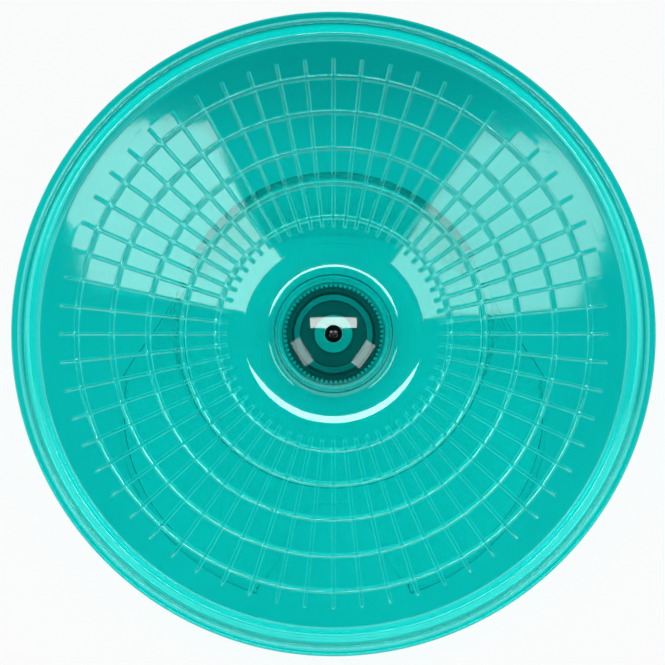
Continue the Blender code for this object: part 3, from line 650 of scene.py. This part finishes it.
def row_radii():
    """Radii of the grid's rows: crowded at the ribs' ends and at the rings."""
    radii = [RIB_START - BAND_EDGE, RIB_START - FLAT_EDGE, RIB_END + FLAT_EDGE, RIB_END + BAND_EDGE]
    radii += [RIB_START + share * HALF_RIB for share in END_SHARES]
    radii += [RIB_END - share * HALF_RIB for share in END_SHARES]
    for place in rings:
        radii += [place + side * share * HALF_RING for share in BEAD_SHARES for side in (-1, 1)]
    return sorted({round(radius, 7) for radius in radii})


def column_turn(column, radius, at_edge):
    """Turn of a column: even at the band's edges, and gathered at the ribs inside it."""
    if at_edge:
        return RIB_STEP * column / COLUMNS_A_RIB
    half = COLUMNS_A_RIB // 2
    near = column if column <= half else COLUMNS_A_RIB - column
    turn = RIB_STEP / 2 if near == half else math.asin(COLUMN_SHARES[near] * HALF_RIB / radius)
    return turn if column <= half else RIB_STEP - turn


def make_sector(bm):
    """Add one beaded sector, from the middle of a rib to the middle of the next."""
    radii = row_radii()
    last = len(radii) - 1
    highlight_layer = bm.verts.layers.float.new(PAINTED_HIGHLIGHT_LAYER)
    panel_layer = bm.verts.layers.float.new(PANEL_LAYER)
    bmesh.ops.create_grid(bm, x_segments=COLUMNS_A_RIB, y_segments=last, size=1.0)
    for vert in bm.verts:
        column = round((vert.co.x + 1.0) / 2.0 * COLUMNS_A_RIB)
        row = round((vert.co.y + 1.0) / 2.0 * last)
        radius = radii[row]
        turn = column_turn(column, radius, row in (0, last))
        near = min(turn, RIB_STEP - turn)
        rise = 0.0 if row in (0, last) else lift(radius, near)
        # Each point carries how much painted highlight the plastic gets there.
        vert[highlight_layer] = 0.0 if row in (0, last) else painted_highlight_at(radius, near)
        vert[panel_layer] = 1.0 if rise < MERGE else 0.0
        vert.co = (radius * math.cos(turn), radius * math.sin(turn), dish_height(radius) + rise)


print("a sector has", COLUMNS_A_RIB, "columns and", len(row_radii()), "rows")

# %% [markdown]
# The whole dish is the sector spun round sixty times, and the rest of the section spun in steps that
# meet the sector's columns. Merging the doubled points closes the shell, and the count of open edges
# shows whether it did.

# %% Make the saucer
SUPPORT = 0.4 * MM


def on_dish(radius, depth=0.0):
    """A point of the section on the running surface, or a wall's thickness under it."""
    return radius, dish_height(radius) - depth / math.cos(DISH_SLOPE)


def saucer_section():
    """The saucer's section apart from its beaded band, from one edge of the band to the other."""
    top = hub_section(0.0) + [on_dish(HUB_FOOT_RADIUS + SUPPORT), on_dish(RIB_START - BAND_EDGE)]
    ceiling = dome_underside(SOCKET_RADIUS)
    outside = [place for place in hub_section(WALL) if place[0] > SOCKET_OUTER and place[1] < ceiling]
    under = [
        (HOLE_RADIUS, dome_underside(HOLE_RADIUS)),
        (SOCKET_RADIUS - SUPPORT, dome_underside(SOCKET_RADIUS - SUPPORT)),
        (SOCKET_RADIUS, ceiling - SUPPORT / 2),
        (SOCKET_RADIUS, HOUSING_FOOT),
        (SOCKET_OUTER, HOUSING_FOOT),
        (SOCKET_OUTER, outside[0][1] - SUPPORT / 2),
    ]
    under += outside
    under += [on_dish(outside[-1][0] + SUPPORT, WALL), on_dish(DISH_RADIUS - 2 * SUPPORT, WALL)]
    under_rim = [on_dish(DISH_RADIUS, WALL)] + rim_points(RIM_UNDER_SHARES)[::-1]
    over_rim = rim_points(RIM_TOP_SHARES)[::-1] + [on_dish(DISH_RADIUS)]
    rim = soften(under_rim + over_rim, passes=1)
    return top[::-1] + under + rim + [on_dish(DISH_RADIUS - SUPPORT), on_dish(RIB_END + BAND_EDGE)]


def crease_beads(mesh):
    """Part the shading where a bead meets a flat panel, so that no panel shades like a bead."""
    flat = np.zeros(len(mesh.vertices), dtype=np.float32)
    mesh.attributes[PANEL_LAYER].data.foreach_get("value", flat)
    panels_beside = {}
    for polygon in mesh.polygons:
        if all(flat[corner] > 0.5 for corner in polygon.vertices):
            for key in polygon.edge_keys:
                panels_beside[key] = panels_beside.get(key, 0) + 1
    for edge in mesh.edges:
        if panels_beside.get(edge.key, 0) == 1:
            edge.use_edge_sharp = True


def make_saucer():
    """The dish with its beads, its hub and its rolled rim, as one closed shell."""
    bm = bmesh.new()
    make_sector(bm)
    bmesh.ops.spin(
        bm,
        geom=bm.verts[:] + bm.edges[:] + bm.faces[:],
        cent=(0.0, 0.0, 0.0),
        axis=(0.0, 0.0, 1.0),
        angle=math.tau - RIB_STEP,
        steps=RIB_COUNT - 1,
        use_duplicate=True,
    )
    spin_section(bm, saucer_section(), RIB_COUNT * COLUMNS_A_RIB, closed=False)
    bmesh.ops.remove_doubles(bm, verts=bm.verts, dist=MERGE)
    open_edges = sum(1 for edge in bm.edges if not edge.is_manifold)
    print("open edges:", open_edges)
    dish = finish_piece("dish", bm, saucer_plastic, "saucer_body", ["saucer"])
    crease_beads(dish.data)


make_saucer()

# %% [markdown]
# Under the dome, and in full view through it, the bearing sits in a black housing whose rim is
# knurled so that it grips the saucer's socket. A gear-like ring could be cut tooth by tooth. Here a
# plain cup is spun first, and the points of its outer wall are then pulled in between the teeth.

# %% Make the bearing's housing
KNURL_COUNT = 64
KNURL_DEPTH = 1.1 * MM
COLUMNS_A_TOOTH = 4
COLLAR_BREAK = 0.2 * MM


def make_housing():
    """The black cup that holds the bearing."""
    bm = bmesh.new()
    section = [
        (HOUSING_COLLAR, HOUSING_SHOULDER),
        (HOUSING_COLLAR, COLLAR_TOP - COLLAR_BREAK),
        (HOUSING_COLLAR - COLLAR_BREAK, COLLAR_TOP),
        (HOUSING_BORE + COLLAR_BREAK, COLLAR_TOP),
        (HOUSING_BORE, COLLAR_TOP - COLLAR_BREAK),
        (HOUSING_BORE, HOUSING_FOOT + HOUSING_LIP),
        (HOUSING_LIP_RADIUS, HOUSING_FOOT + HOUSING_LIP),
        (HOUSING_LIP_RADIUS, HOUSING_FOOT),
        (HOUSING_RADIUS, HOUSING_FOOT),
        (HOUSING_RADIUS, HOUSING_SHOULDER),
    ]
    spin_section(bm, section, COLUMNS_A_TOOTH * KNURL_COUNT)
    for vert in bm.verts:
        if vert.co.xy.length > HOUSING_RADIUS - MERGE:
            turn = math.atan2(vert.co.y, vert.co.x)
            dip = math.sqrt((1.0 - math.cos(turn * KNURL_COUNT)) / 2.0)
            vert.co.xy *= 1.0 - dip * KNURL_DEPTH / HOUSING_RADIUS
    finish_piece("housing", bm, black_plastic, "saucer_body", ["bearing_housing"])


make_housing()

# %% [markdown]
# The bearing itself: two steel races with a round groove for the balls, and two rubber seals that
# close the gap between them. Only the races' faces and the upper seal show, but the whole bearing is
# here, because it is what makes the wheel turn.

# %% Make the races and the seals
GROOVE_POINTS = 15
RACE_BREAK = 0.3 * MM


def race_section(land, shoulder, side):
    """Section of a race: side is -1 for the inner race and 1 for the outer one."""
    half = math.acos(abs(PITCH_RADIUS - shoulder) / GROOVE_RADIUS)
    groove = [
        (PITCH_RADIUS + side * GROOVE_RADIUS * math.cos(turn), GROOVE_RADIUS * math.sin(turn))
        for turn in np.linspace(half, -half, GROOVE_POINTS)
    ]
    inset = land - RACE_BREAK * side
    top = HALF_BEARING
    return [
        (inset, top),
        (shoulder, top),
        *groove,
        (shoulder, -top),
        (inset, -top),
        (land, RACE_BREAK - top),
        (land, top - RACE_BREAK),
    ]


def make_turned(name, section, material, body, node, closed=True):
    """Spin one section into a finished piece."""
    bm = bmesh.new()
    spin_section(bm, section, FINE, closed)
    finish_piece(name, bm, material, body, [node])


inner = race_section(BORE_RADIUS, INNER_SHOULDER, -1)
outer = race_section(BEARING_RADIUS, OUTER_SHOULDER, 1)
make_turned("inner_race", inner, darkened_bearing_steel, "base", "bearing_inner_race")
make_turned("outer_race", outer, darkened_bearing_steel, "saucer_body", "bearing_outer_race")
SEAL_TOP = HALF_BEARING - 0.2 * MM
SEAL_FOOT = SEAL_TOP - 0.5 * MM
seal = ring_section(INNER_SHOULDER + FIT, OUTER_SHOULDER - FIT, SEAL_FOOT, SEAL_TOP, 0.15 * MM)
lower_seal = [(radius, -height) for radius, height in seal]
make_turned("seal_top", seal, lightened_seal_rubber, "saucer_body", "bearing_seal_top")
make_turned("seal_bottom", lower_seal, lightened_seal_rubber, "saucer_body", "bearing_seal_bottom")

# %% [markdown]
# The balls roll between the races at a little over half the saucer's speed, and a brass crown keeps
# them apart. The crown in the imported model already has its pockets, so it stays and only gets a
# better material.

# %% Make the balls


def make_ball(number):
    """One ball on the pitch circle."""
    bm = bmesh.new()
    bmesh.ops.create_uvsphere(bm, u_segments=32, v_segments=20, radius=BALL_RADIUS)
    turn = math.tau * number / BALL_COUNT
    place = (PITCH_RADIUS * math.cos(turn), PITCH_RADIUS * math.sin(turn), 0.0)
    bmesh.ops.translate(bm, verts=bm.verts, vec=place)
    node = f"bearing_ball_{number + 1}"
    finish_piece(f"ball_{number + 1}", bm, darkened_bearing_steel, "ball_set", [node])


for number in range(BALL_COUNT):
    make_ball(number)
cage = frame["nodes"]["bearing_cage"]
cage.data.materials.clear()
cage.data.materials.append(cage_brass)
print("the cage stays, in", cage_brass.name)

# %% [markdown]
# The steel spindle carries the inner race, with a spacer below it and a nylon washer and a screw on
# top. The nut and its washer clamp the spindle to the base from below. Every edge is broken a little,
# because a dead sharp edge never catches the light.

# %% Make the spindle and its rings
SPINDLE_TOP = HALF_BEARING - FIT
BASE_WALL = 2.2 * MM
WASHER_TOP = BOSS_TOP - BASE_WALL - FIT
WASHER_FOOT = WASHER_TOP - 1.2 * MM
NUT_TOP = WASHER_FOOT - FIT
NUT_HEIGHT = 6.5 * MM
SPINDLE_FOOT = NUT_TOP - NUT_HEIGHT - 1.5 * MM
HOLE_DEPTH = 13.5 * MM
EDGE = 0.5 * MM
screw_hole = SCREW_RADIUS + FIT
spindle_section = [
    (0.0, SPINDLE_TOP - HOLE_DEPTH),
    (screw_hole, SPINDLE_TOP - HOLE_DEPTH),
    (screw_hole, SPINDLE_TOP),
    (SPINDLE_RADIUS - EDGE, SPINDLE_TOP),
    (SPINDLE_RADIUS, SPINDLE_TOP - EDGE),
    (SPINDLE_RADIUS, SPINDLE_FOOT + EDGE),
    (SPINDLE_RADIUS - EDGE, SPINDLE_FOOT),
    (0.0, SPINDLE_FOOT),
]
make_turned("axle_pin", spindle_section, plated_steel, "base", "spindle", closed=False)
through = SPINDLE_RADIUS + FIT
spacer = ring_section(through, INNER_SHOULDER - 0.2 * MM, SPACER_FOOT, SPACER_TOP, 0.3 * MM)
clamp_top = CLAMP_FOOT + CLAMP_THICKNESS
clamp = ring_section(screw_hole, INNER_SHOULDER - 0.3 * MM, CLAMP_FOOT, clamp_top, 0.2 * MM)
washer = ring_section(through, 8.0 * MM, WASHER_FOOT, WASHER_TOP, 0.25 * MM)
make_turned("spacer", spacer, plated_steel, "base", "bearing_spacer")
make_turned("nylon_washer", clamp, white_nylon, "base", "clamp_washer")
make_turned("nut_washer", washer, plated_steel, "base", "spindle_washer")

# %% [markdown]
# The screw has a low domed head with a cross recess. The recess is cut with a Boolean, which keeps
# both the head and the cutter simple. It is applied at once, so that the cutter can go again.

# %% Make the screw
RECESS_WIDTH = 0.6 * MM
RECESS_SPAN = 2.5 * MM
RECESS_DEPTH = 0.9 * MM
SCREW_LENGTH = 12.0 * MM
SCREW_CROWN = ((0.40, 0.98), (0.74, 0.84), (1.0, 0.55), (1.0, 0.0))
SCREW_COLUMNS = 64


def make_screw():
    """The hub screw, with a cross cut into its head."""
    head = [(0.0, HEAD_TOP)]
    for across, up in SCREW_CROWN:
        head.append((SCREW_HEAD_RADIUS * across, SCREW_HEAD_FOOT + SCREW_HEAD_HEIGHT * up))
    head = soften(head, passes=2)
    tip = SCREW_HEAD_FOOT - SCREW_LENGTH
    section = head + [(SCREW_RADIUS, SCREW_HEAD_FOOT), (SCREW_RADIUS, tip), (0.0, tip)]
    bm = bmesh.new()
    spin_section(bm, section, SCREW_COLUMNS, closed=False)
    screw = finish_piece("screw", bm, black_steel, "base", ["hub_screw"])
    cutter = bmesh.new()
    for turn in (0.0, QUARTER):
        bar = bmesh.ops.create_cube(cutter, size=1.0)
        bmesh.ops.scale(cutter, verts=bar["verts"], vec=(RECESS_WIDTH, RECESS_SPAN, 2 * RECESS_DEPTH))
        bmesh.ops.translate(cutter, verts=bar["verts"], vec=(0.0, 0.0, HEAD_TOP))
        spot = Matrix.Rotation(turn, 3, "Z")
        bmesh.ops.rotate(cutter, verts=bar["verts"], cent=(0.0, 0.0, 0.0), matrix=spot)
    bmesh.ops.transform(cutter, matrix=axle, verts=cutter.verts)
    cross = add_mesh("cross_cutter", cutter)
    recess = screw.modifiers.new("recess", "BOOLEAN")
    recess.object = cross
    recess.use_self = True
    return screw, cross


screw, cross = make_screw()
with bpy.context.temp_override(object=screw, active_object=screw):
    bpy.ops.object.modifier_apply(modifier="recess")
bpy.data.objects.remove(cross)
screw.data.set_sharp_from_angle(angle=CRISP)
print("the screw has", len(screw.data.polygons), "faces")

# %% [markdown]
# The nut is a hexagonal prism whose corners are turned off, which leaves the curved lines that show
# a nut is a nut. A circle of points is pushed out to the flats of a hexagon, and the two end rings
# are held back to the chamfer's circle.

# %% Make the nut
NUT_HALF_FLATS = 6.5 * MM
NUT_CORNER = NUT_HALF_FLATS / math.cos(math.pi / 6)
NUT_CHAMFER = 0.6 * MM
NUT_COLUMNS = 72
NUT_CRISP = math.radians(20)


def make_nut():
    """The hexagon nut under the base's plate."""
    foot = NUT_TOP - NUT_HEIGHT
    levels = [
        (NUT_TOP, None),
        (NUT_TOP, NUT_CORNER - NUT_CHAMFER),
        (NUT_TOP - NUT_CHAMFER / 2, NUT_CORNER),
        (foot + NUT_CHAMFER / 2, NUT_CORNER),
        (foot, NUT_CORNER - NUT_CHAMFER),
        (foot, None),
    ]
    bm = bmesh.new()
    loops = []
    for height, limit in levels:
        circle = bmesh.ops.create_circle(bm, segments=NUT_COLUMNS, radius=1.0)["verts"]
        for vert in circle:
            turn = math.atan2(vert.co.y, vert.co.x)
            flat = NUT_HALF_FLATS / math.cos((turn % (math.pi / 3)) - math.pi / 6)
            radius = through if limit is None else min(flat, limit)
            vert.co = (radius * math.cos(turn), radius * math.sin(turn), height)
        loops.append(list({edge for vert in circle for edge in vert.link_edges}))
    for near, far in zip(loops, loops[1:] + loops[:1]):
        bmesh.ops.bridge_loops(bm, edges=near + far)
    finish_piece("nut", bm, plated_steel, "base", ["spindle_nut"], crisp=NUT_CRISP)


make_nut()

# %% [markdown]
# The base is a bell. Its domed top is square to the tilted axle, and its skirt flares down to a round
# foot that stands level, so no single spin can make it. It is lofted: each column starts on the
# tilted top edge and swings out to its own point on the level foot. Three arches between the feet
# stop the columns early. Solidify then gives the skin its wall, as on the mould.

# %% Sizes of the base
BOSS_RADIUS = 12.0 * MM
BOSS_RISE = 3.0 * MM
BOSS_DRAFT = 0.4 * MM
BOSS_BREAK = 0.4 * MM
BOSS_FILLET = 0.5 * MM
BOSS_APRON = 4.0 * MM
TOP_RADIUS = 50.0 * MM
TOP_CURVE = 150.0 * MM
TOP_SHOULDER = 4.0 * MM
SHOULDER_DROP = 2.2 * MM
FOOT_RADIUS = 68.0 * MM
FOOT_SETBACK = 2.3 * MM
SOLE_HEIGHT = 4.0 * MM
FLARE_POWER = 1.5
FEET = 3
ARCH_HALF_ANGLE = math.radians(20.5)
ARCH_SHARES = [
    (-0.30, 0.18), (0.00, 0.17), (0.30, 0.18), (0.45, 0.26), (0.60, 0.50), (0.80, 0.80), (1.00, 1.00)
]
FOOT_COLUMNS = 10
TOP_ROWS = 8
SHOULDER_ROWS = 5
SKIRT_ROWS = 14
foot_middle = Vector((0.0, pivot.y + FOOT_SETBACK, 0.0))


def base_columns():
    """Directions of the base's columns, each with how far down its skirt reaches."""
    third = math.tau / FEET
    arch = [point for point in soften(ARCH_SHARES, passes=2) if point[0] > 0.01]
    right = [(0.0, ARCH_SHARES[1][1])]
    right += [(share * ARCH_HALF_ANGLE, reach) for share, reach in arch]
    foot = third / 2 - ARCH_HALF_ANGLE
    steps = range(1, FOOT_COLUMNS + 1)
    right += [(ARCH_HALF_ANGLE + foot * step / FOOT_COLUMNS, 1.0) for step in steps]
    left = [(-angle, reach) for angle, reach in right[1:-1]]
    columns = []
    for number in range(FEET):
        middle = -QUARTER + number * third
        columns += [(middle + angle, reach) for angle, reach in left[::-1] + right]
    return columns


def top_rings():
    """Boss and domed top of the base as (radius, height) pairs about the axle."""
    boss_foot = BOSS_RADIUS + BOSS_DRAFT
    crown = BOSS_TOP - BOSS_RISE + TOP_CURVE - math.sqrt(TOP_CURVE**2 - boss_foot**2)

    def dome(radius):
        return crown - TOP_CURVE + math.sqrt(TOP_CURVE**2 - radius**2)

    shoulder = TOP_RADIUS - TOP_SHOULDER
    rings = [
        (SPINDLE_RADIUS + FIT, BOSS_TOP),
        (BOSS_RADIUS - BOSS_BREAK, BOSS_TOP),
        (BOSS_RADIUS, BOSS_TOP - BOSS_BREAK),
        (boss_foot, dome(boss_foot) + BOSS_FILLET),
        (boss_foot + BOSS_FILLET, dome(boss_foot)),
    ]
    radii = np.linspace(boss_foot + BOSS_APRON, shoulder, TOP_ROWS)
    rings += [(radius, dome(radius)) for radius in radii]
    for turn in np.linspace(0.0, QUARTER, SHOULDER_ROWS + 1)[1:]:
        across = TOP_SHOULDER * math.sin(turn)
        down = SHOULDER_DROP * (1.0 - math.cos(turn))
        rings.append((shoulder + across, dome(shoulder) - down))
    return rings


print("the base has", len(base_columns()), "columns and", len(top_rings()) + SKIRT_ROWS, "rows")

# %% [markdown]
# The rows are laid one under the other and joined by faces. Only the columns that reach the foot get
# a sole, pulled straight down to the floor, and the arches stay open.

# %% Make the base


def make_base():
    """The bell: a tilted top lofted down to a level foot, with three arches."""
    bm = bmesh.new()
    columns = base_columns()
    rows = []
    for radius, height in top_rings():
        row = []
        for angle, _ in columns:
            point = Vector((radius * math.cos(angle), radius * math.sin(angle), height))
            row.append(bm.verts.new(axle @ point))
        rows.append(row)
    starts = [vert.co.copy() for vert in rows[-1]]
    for step in range(1, SKIRT_ROWS + 1):
        row = []
        for (angle, reach), start in zip(columns, starts):
            down = reach * step / SKIRT_ROWS
            foot = foot_middle + Vector((math.cos(angle), math.sin(angle), 0.0)) * FOOT_RADIUS
            foot.z = SOLE_HEIGHT
            point = start.lerp(foot, down**FLARE_POWER)
            point.z = start.z + (foot.z - start.z) * down
            row.append(bm.verts.new(point))
        rows.append(row)
    for near, far in zip(rows, rows[1:]):
        for column in range(len(columns)):
            after = (column + 1) % len(columns)
            bm.faces.new((near[column], far[column], far[after], near[after]))
    standing = {vert for vert, (_, reach) in zip(rows[-1], columns) if reach == 1.0}
    sole_edges = [edge for edge in bm.edges if edge.is_boundary and standing.issuperset(edge.verts)]
    grown = bmesh.ops.extrude_edge_only(bm, edges=sole_edges)["geom"]
    for vert in [item for item in grown if isinstance(item, bmesh.types.BMVert)]:
        vert.co.z = 0.0
    upright = Matrix.Identity(4)
    base = finish_piece("bell", bm, lightened_base_plastic, "base", ["base_shell"], place=upright)
    shell = base.modifiers.new("shell", "SOLIDIFY")
    shell.thickness = BASE_WALL
    shell.offset = -1.0
    shell.use_even_offset = True
    shell.use_quality_normals = True


make_base()

# %% [markdown]
# The wheel stands on a white floor. It has to look white to the camera and through the plastic, and
# still take the wheel's soft shadow, so a plain white surface is mixed with an evenly white one that
# only the camera and the see-through rays meet. Behind the wheel the floor has painted shade: it grows
# a little darker to every other ray, standing in for a room whose light stands in front.

# %% Make the floor
FLOOR_SIZE = 6.0
SEEN_WHITE = 0.88
THROUGH_WHITE = 0.6
LIT_WHITE = 0.86
# Painted shade on the floor behind the wheel: where it starts and ends, and how dark it gets.
SHADE_SPAN = (0.105, 0.150)
SHADE_LEVEL = 0.63


def floor_white():
    """White to the camera, partly white and partly lit to the plastic and other rays, with painted shade
    behind the wheel.
    """
    material, tree, shader = new_material("white floor")
    path = add_node(tree, "LightPath", {})
    camera_ray, through_ray = path["Is Camera Ray"], path["Is Transmission Ray"]
    seen = calculate(tree, "MULTIPLY", camera_ray, SEEN_WHITE)
    even = calculate(tree, "MULTIPLY_ADD", through_ray, THROUGH_WHITE, seen)
    _, deep, _ = separate(tree, add_node(tree, "TexCoord", {})["Object"])
    # Painted shade: the floor grows darker behind the wheel, for every ray but the camera's.
    shade = spread(tree, deep, 1.0, SHADE_LEVEL, SHADE_SPAN, "SMOOTHSTEP")
    level = mix_numbers(tree, camera_ray, shade, 1.0)
    lit = calculate(tree, "MULTIPLY", level, LIT_WHITE)
    feed(tree, shader, {"Base Color": lit, "Roughness": 0.9, "Specular IOR Level": 0.0})
    white = add_node(tree, "Emission", {"Strength": level})["Emission"]
    mix_surface(tree, even, shader.outputs["BSDF"], white)
    return material


def make_floor():
    """A large white floor."""
    bm = bmesh.new()
    bmesh.ops.create_grid(bm, x_segments=1, y_segments=1, size=FLOOR_SIZE / 2)
    floor = add_mesh("floor", bm)
    floor.data.materials.append(floor_white())


make_floor()
print("floor", FLOOR_SIZE, "m across")

# %% [markdown]
# The room is white where the camera or the plastic looks straight at it, and softer as a light. The
# gloss mirrors it too: pale low walls all round, which draw a thin line down each side of every bead,
# and a dark ceiling, which leaves the flat panels their full colour.

# %% Light the room
ROOM_LIGHT = 0.40
WALL_LIGHT = 1.4
CEILING_LIGHT = 0.02
WALL_SPAN = (0.20, 0.42)


def make_world():
    """A plain room: white to look at, and with pale walls and a dark ceiling to mirror."""
    world = bpy.data.worlds.new("room")
    bpy.context.scene.world = world
    world.use_nodes = True
    tree = world.node_tree
    _, _, up = separate(tree, add_node(tree, "TexCoord", {})["Generated"])
    mirrored = spread(tree, up, WALL_LIGHT, CEILING_LIGHT, WALL_SPAN, "SMOOTHSTEP")
    path = add_node(tree, "LightPath", {})
    softer = mix_numbers(tree, path["Is Glossy Ray"], ROOM_LIGHT, mirrored)
    seen = calculate(tree, "MAXIMUM", path["Is Camera Ray"], path["Is Transmission Ray"])
    strength = mix_numbers(tree, seen, softer, 1.0)
    feed(tree, tree.nodes["Background"], {"Color": (1.0, 1.0, 1.0), "Strength": strength})


make_world()
print("room light", ROOM_LIGHT, "walls", WALL_LIGHT, "ceiling", CEILING_LIGHT)

# %% [markdown]
# Three strip lamps shape everything that the gloss shows. Two stand low in front, left and right: the
# sloping dish mirrors each as a bright sector on its far side. A longer one overhead gives the white
# bar on the hub's dome. Each is placed by where it lies from the axle, as if it hung on an arm that
# turns about the hub: degrees off the axle, to the side and up, with its long side across that line.

# %% Set the lamps
image_right = Vector((1.0, 0.0, 0.0))
image_up = axis.cross(image_right)
LAMP_DISTANCE = 1.2


def add_lamp(name, right_degrees, up_degrees, length, width, radiance):
    """A strip lamp that faces the hub, seen from it at these angles off the axle."""
    right, up = math.radians(right_degrees), math.radians(up_degrees)
    off = math.hypot(right, up)
    aside = (image_right * right + image_up * up) / off
    facing = axis * math.cos(off) + aside * math.sin(off)
    along = axis.cross(aside)
    turn = Matrix((along, facing.cross(along), facing)).transposed().to_4x4()
    light = bpy.data.lights.new(name, "AREA")
    light.shape = "RECTANGLE"
    light.size, light.size_y = length, width
    light.energy = radiance * math.pi * length * width
    lamp = add_object(name, light)
    lamp.matrix_world = Matrix.Translation(pivot + facing * LAMP_DISTANCE) @ turn
    print(name, "stands at", [round(value, 2) for value in lamp.matrix_world.translation])


add_lamp("strip_left", -25.1, -15.0, 0.445, 0.185, 4.6)
add_lamp("strip_right", 23.9, -16.8, 0.445, 0.185, 5.7)
add_lamp("strip_overhead", 0.0, 8.6, 0.80, 0.175, 14.0)

# %% [markdown]
# The camera looks down into the dish from the front, almost exactly along the axle, from a metre
# away. A long lens fills the frame with the rim.

# %% Place the camera
CAMERA_ELEVATION = math.radians(60.4)
CAMERA_DISTANCE = 1.0
LENS = 181.4
AIM_HEIGHT = 14.0 * MM
AIM_ASIDE = -0.3 * MM
AIM_UP = 0.44 * MM

camera_data = bpy.data.cameras.new("camera")
camera_data.lens = LENS
camera = add_object("camera", camera_data)
aim = axle @ Vector((AIM_ASIDE, AIM_UP, AIM_HEIGHT))
back = Vector((0.0, -math.cos(CAMERA_ELEVATION), math.sin(CAMERA_ELEVATION)))
camera.location = aim + back * CAMERA_DISTANCE
camera.rotation_euler = back.to_track_quat("Z", "Y").to_euler()
bpy.context.scene.camera = camera
bpy.context.scene.view_settings.view_transform = "Standard"
print("camera at", [round(value, 3) for value in camera.location])
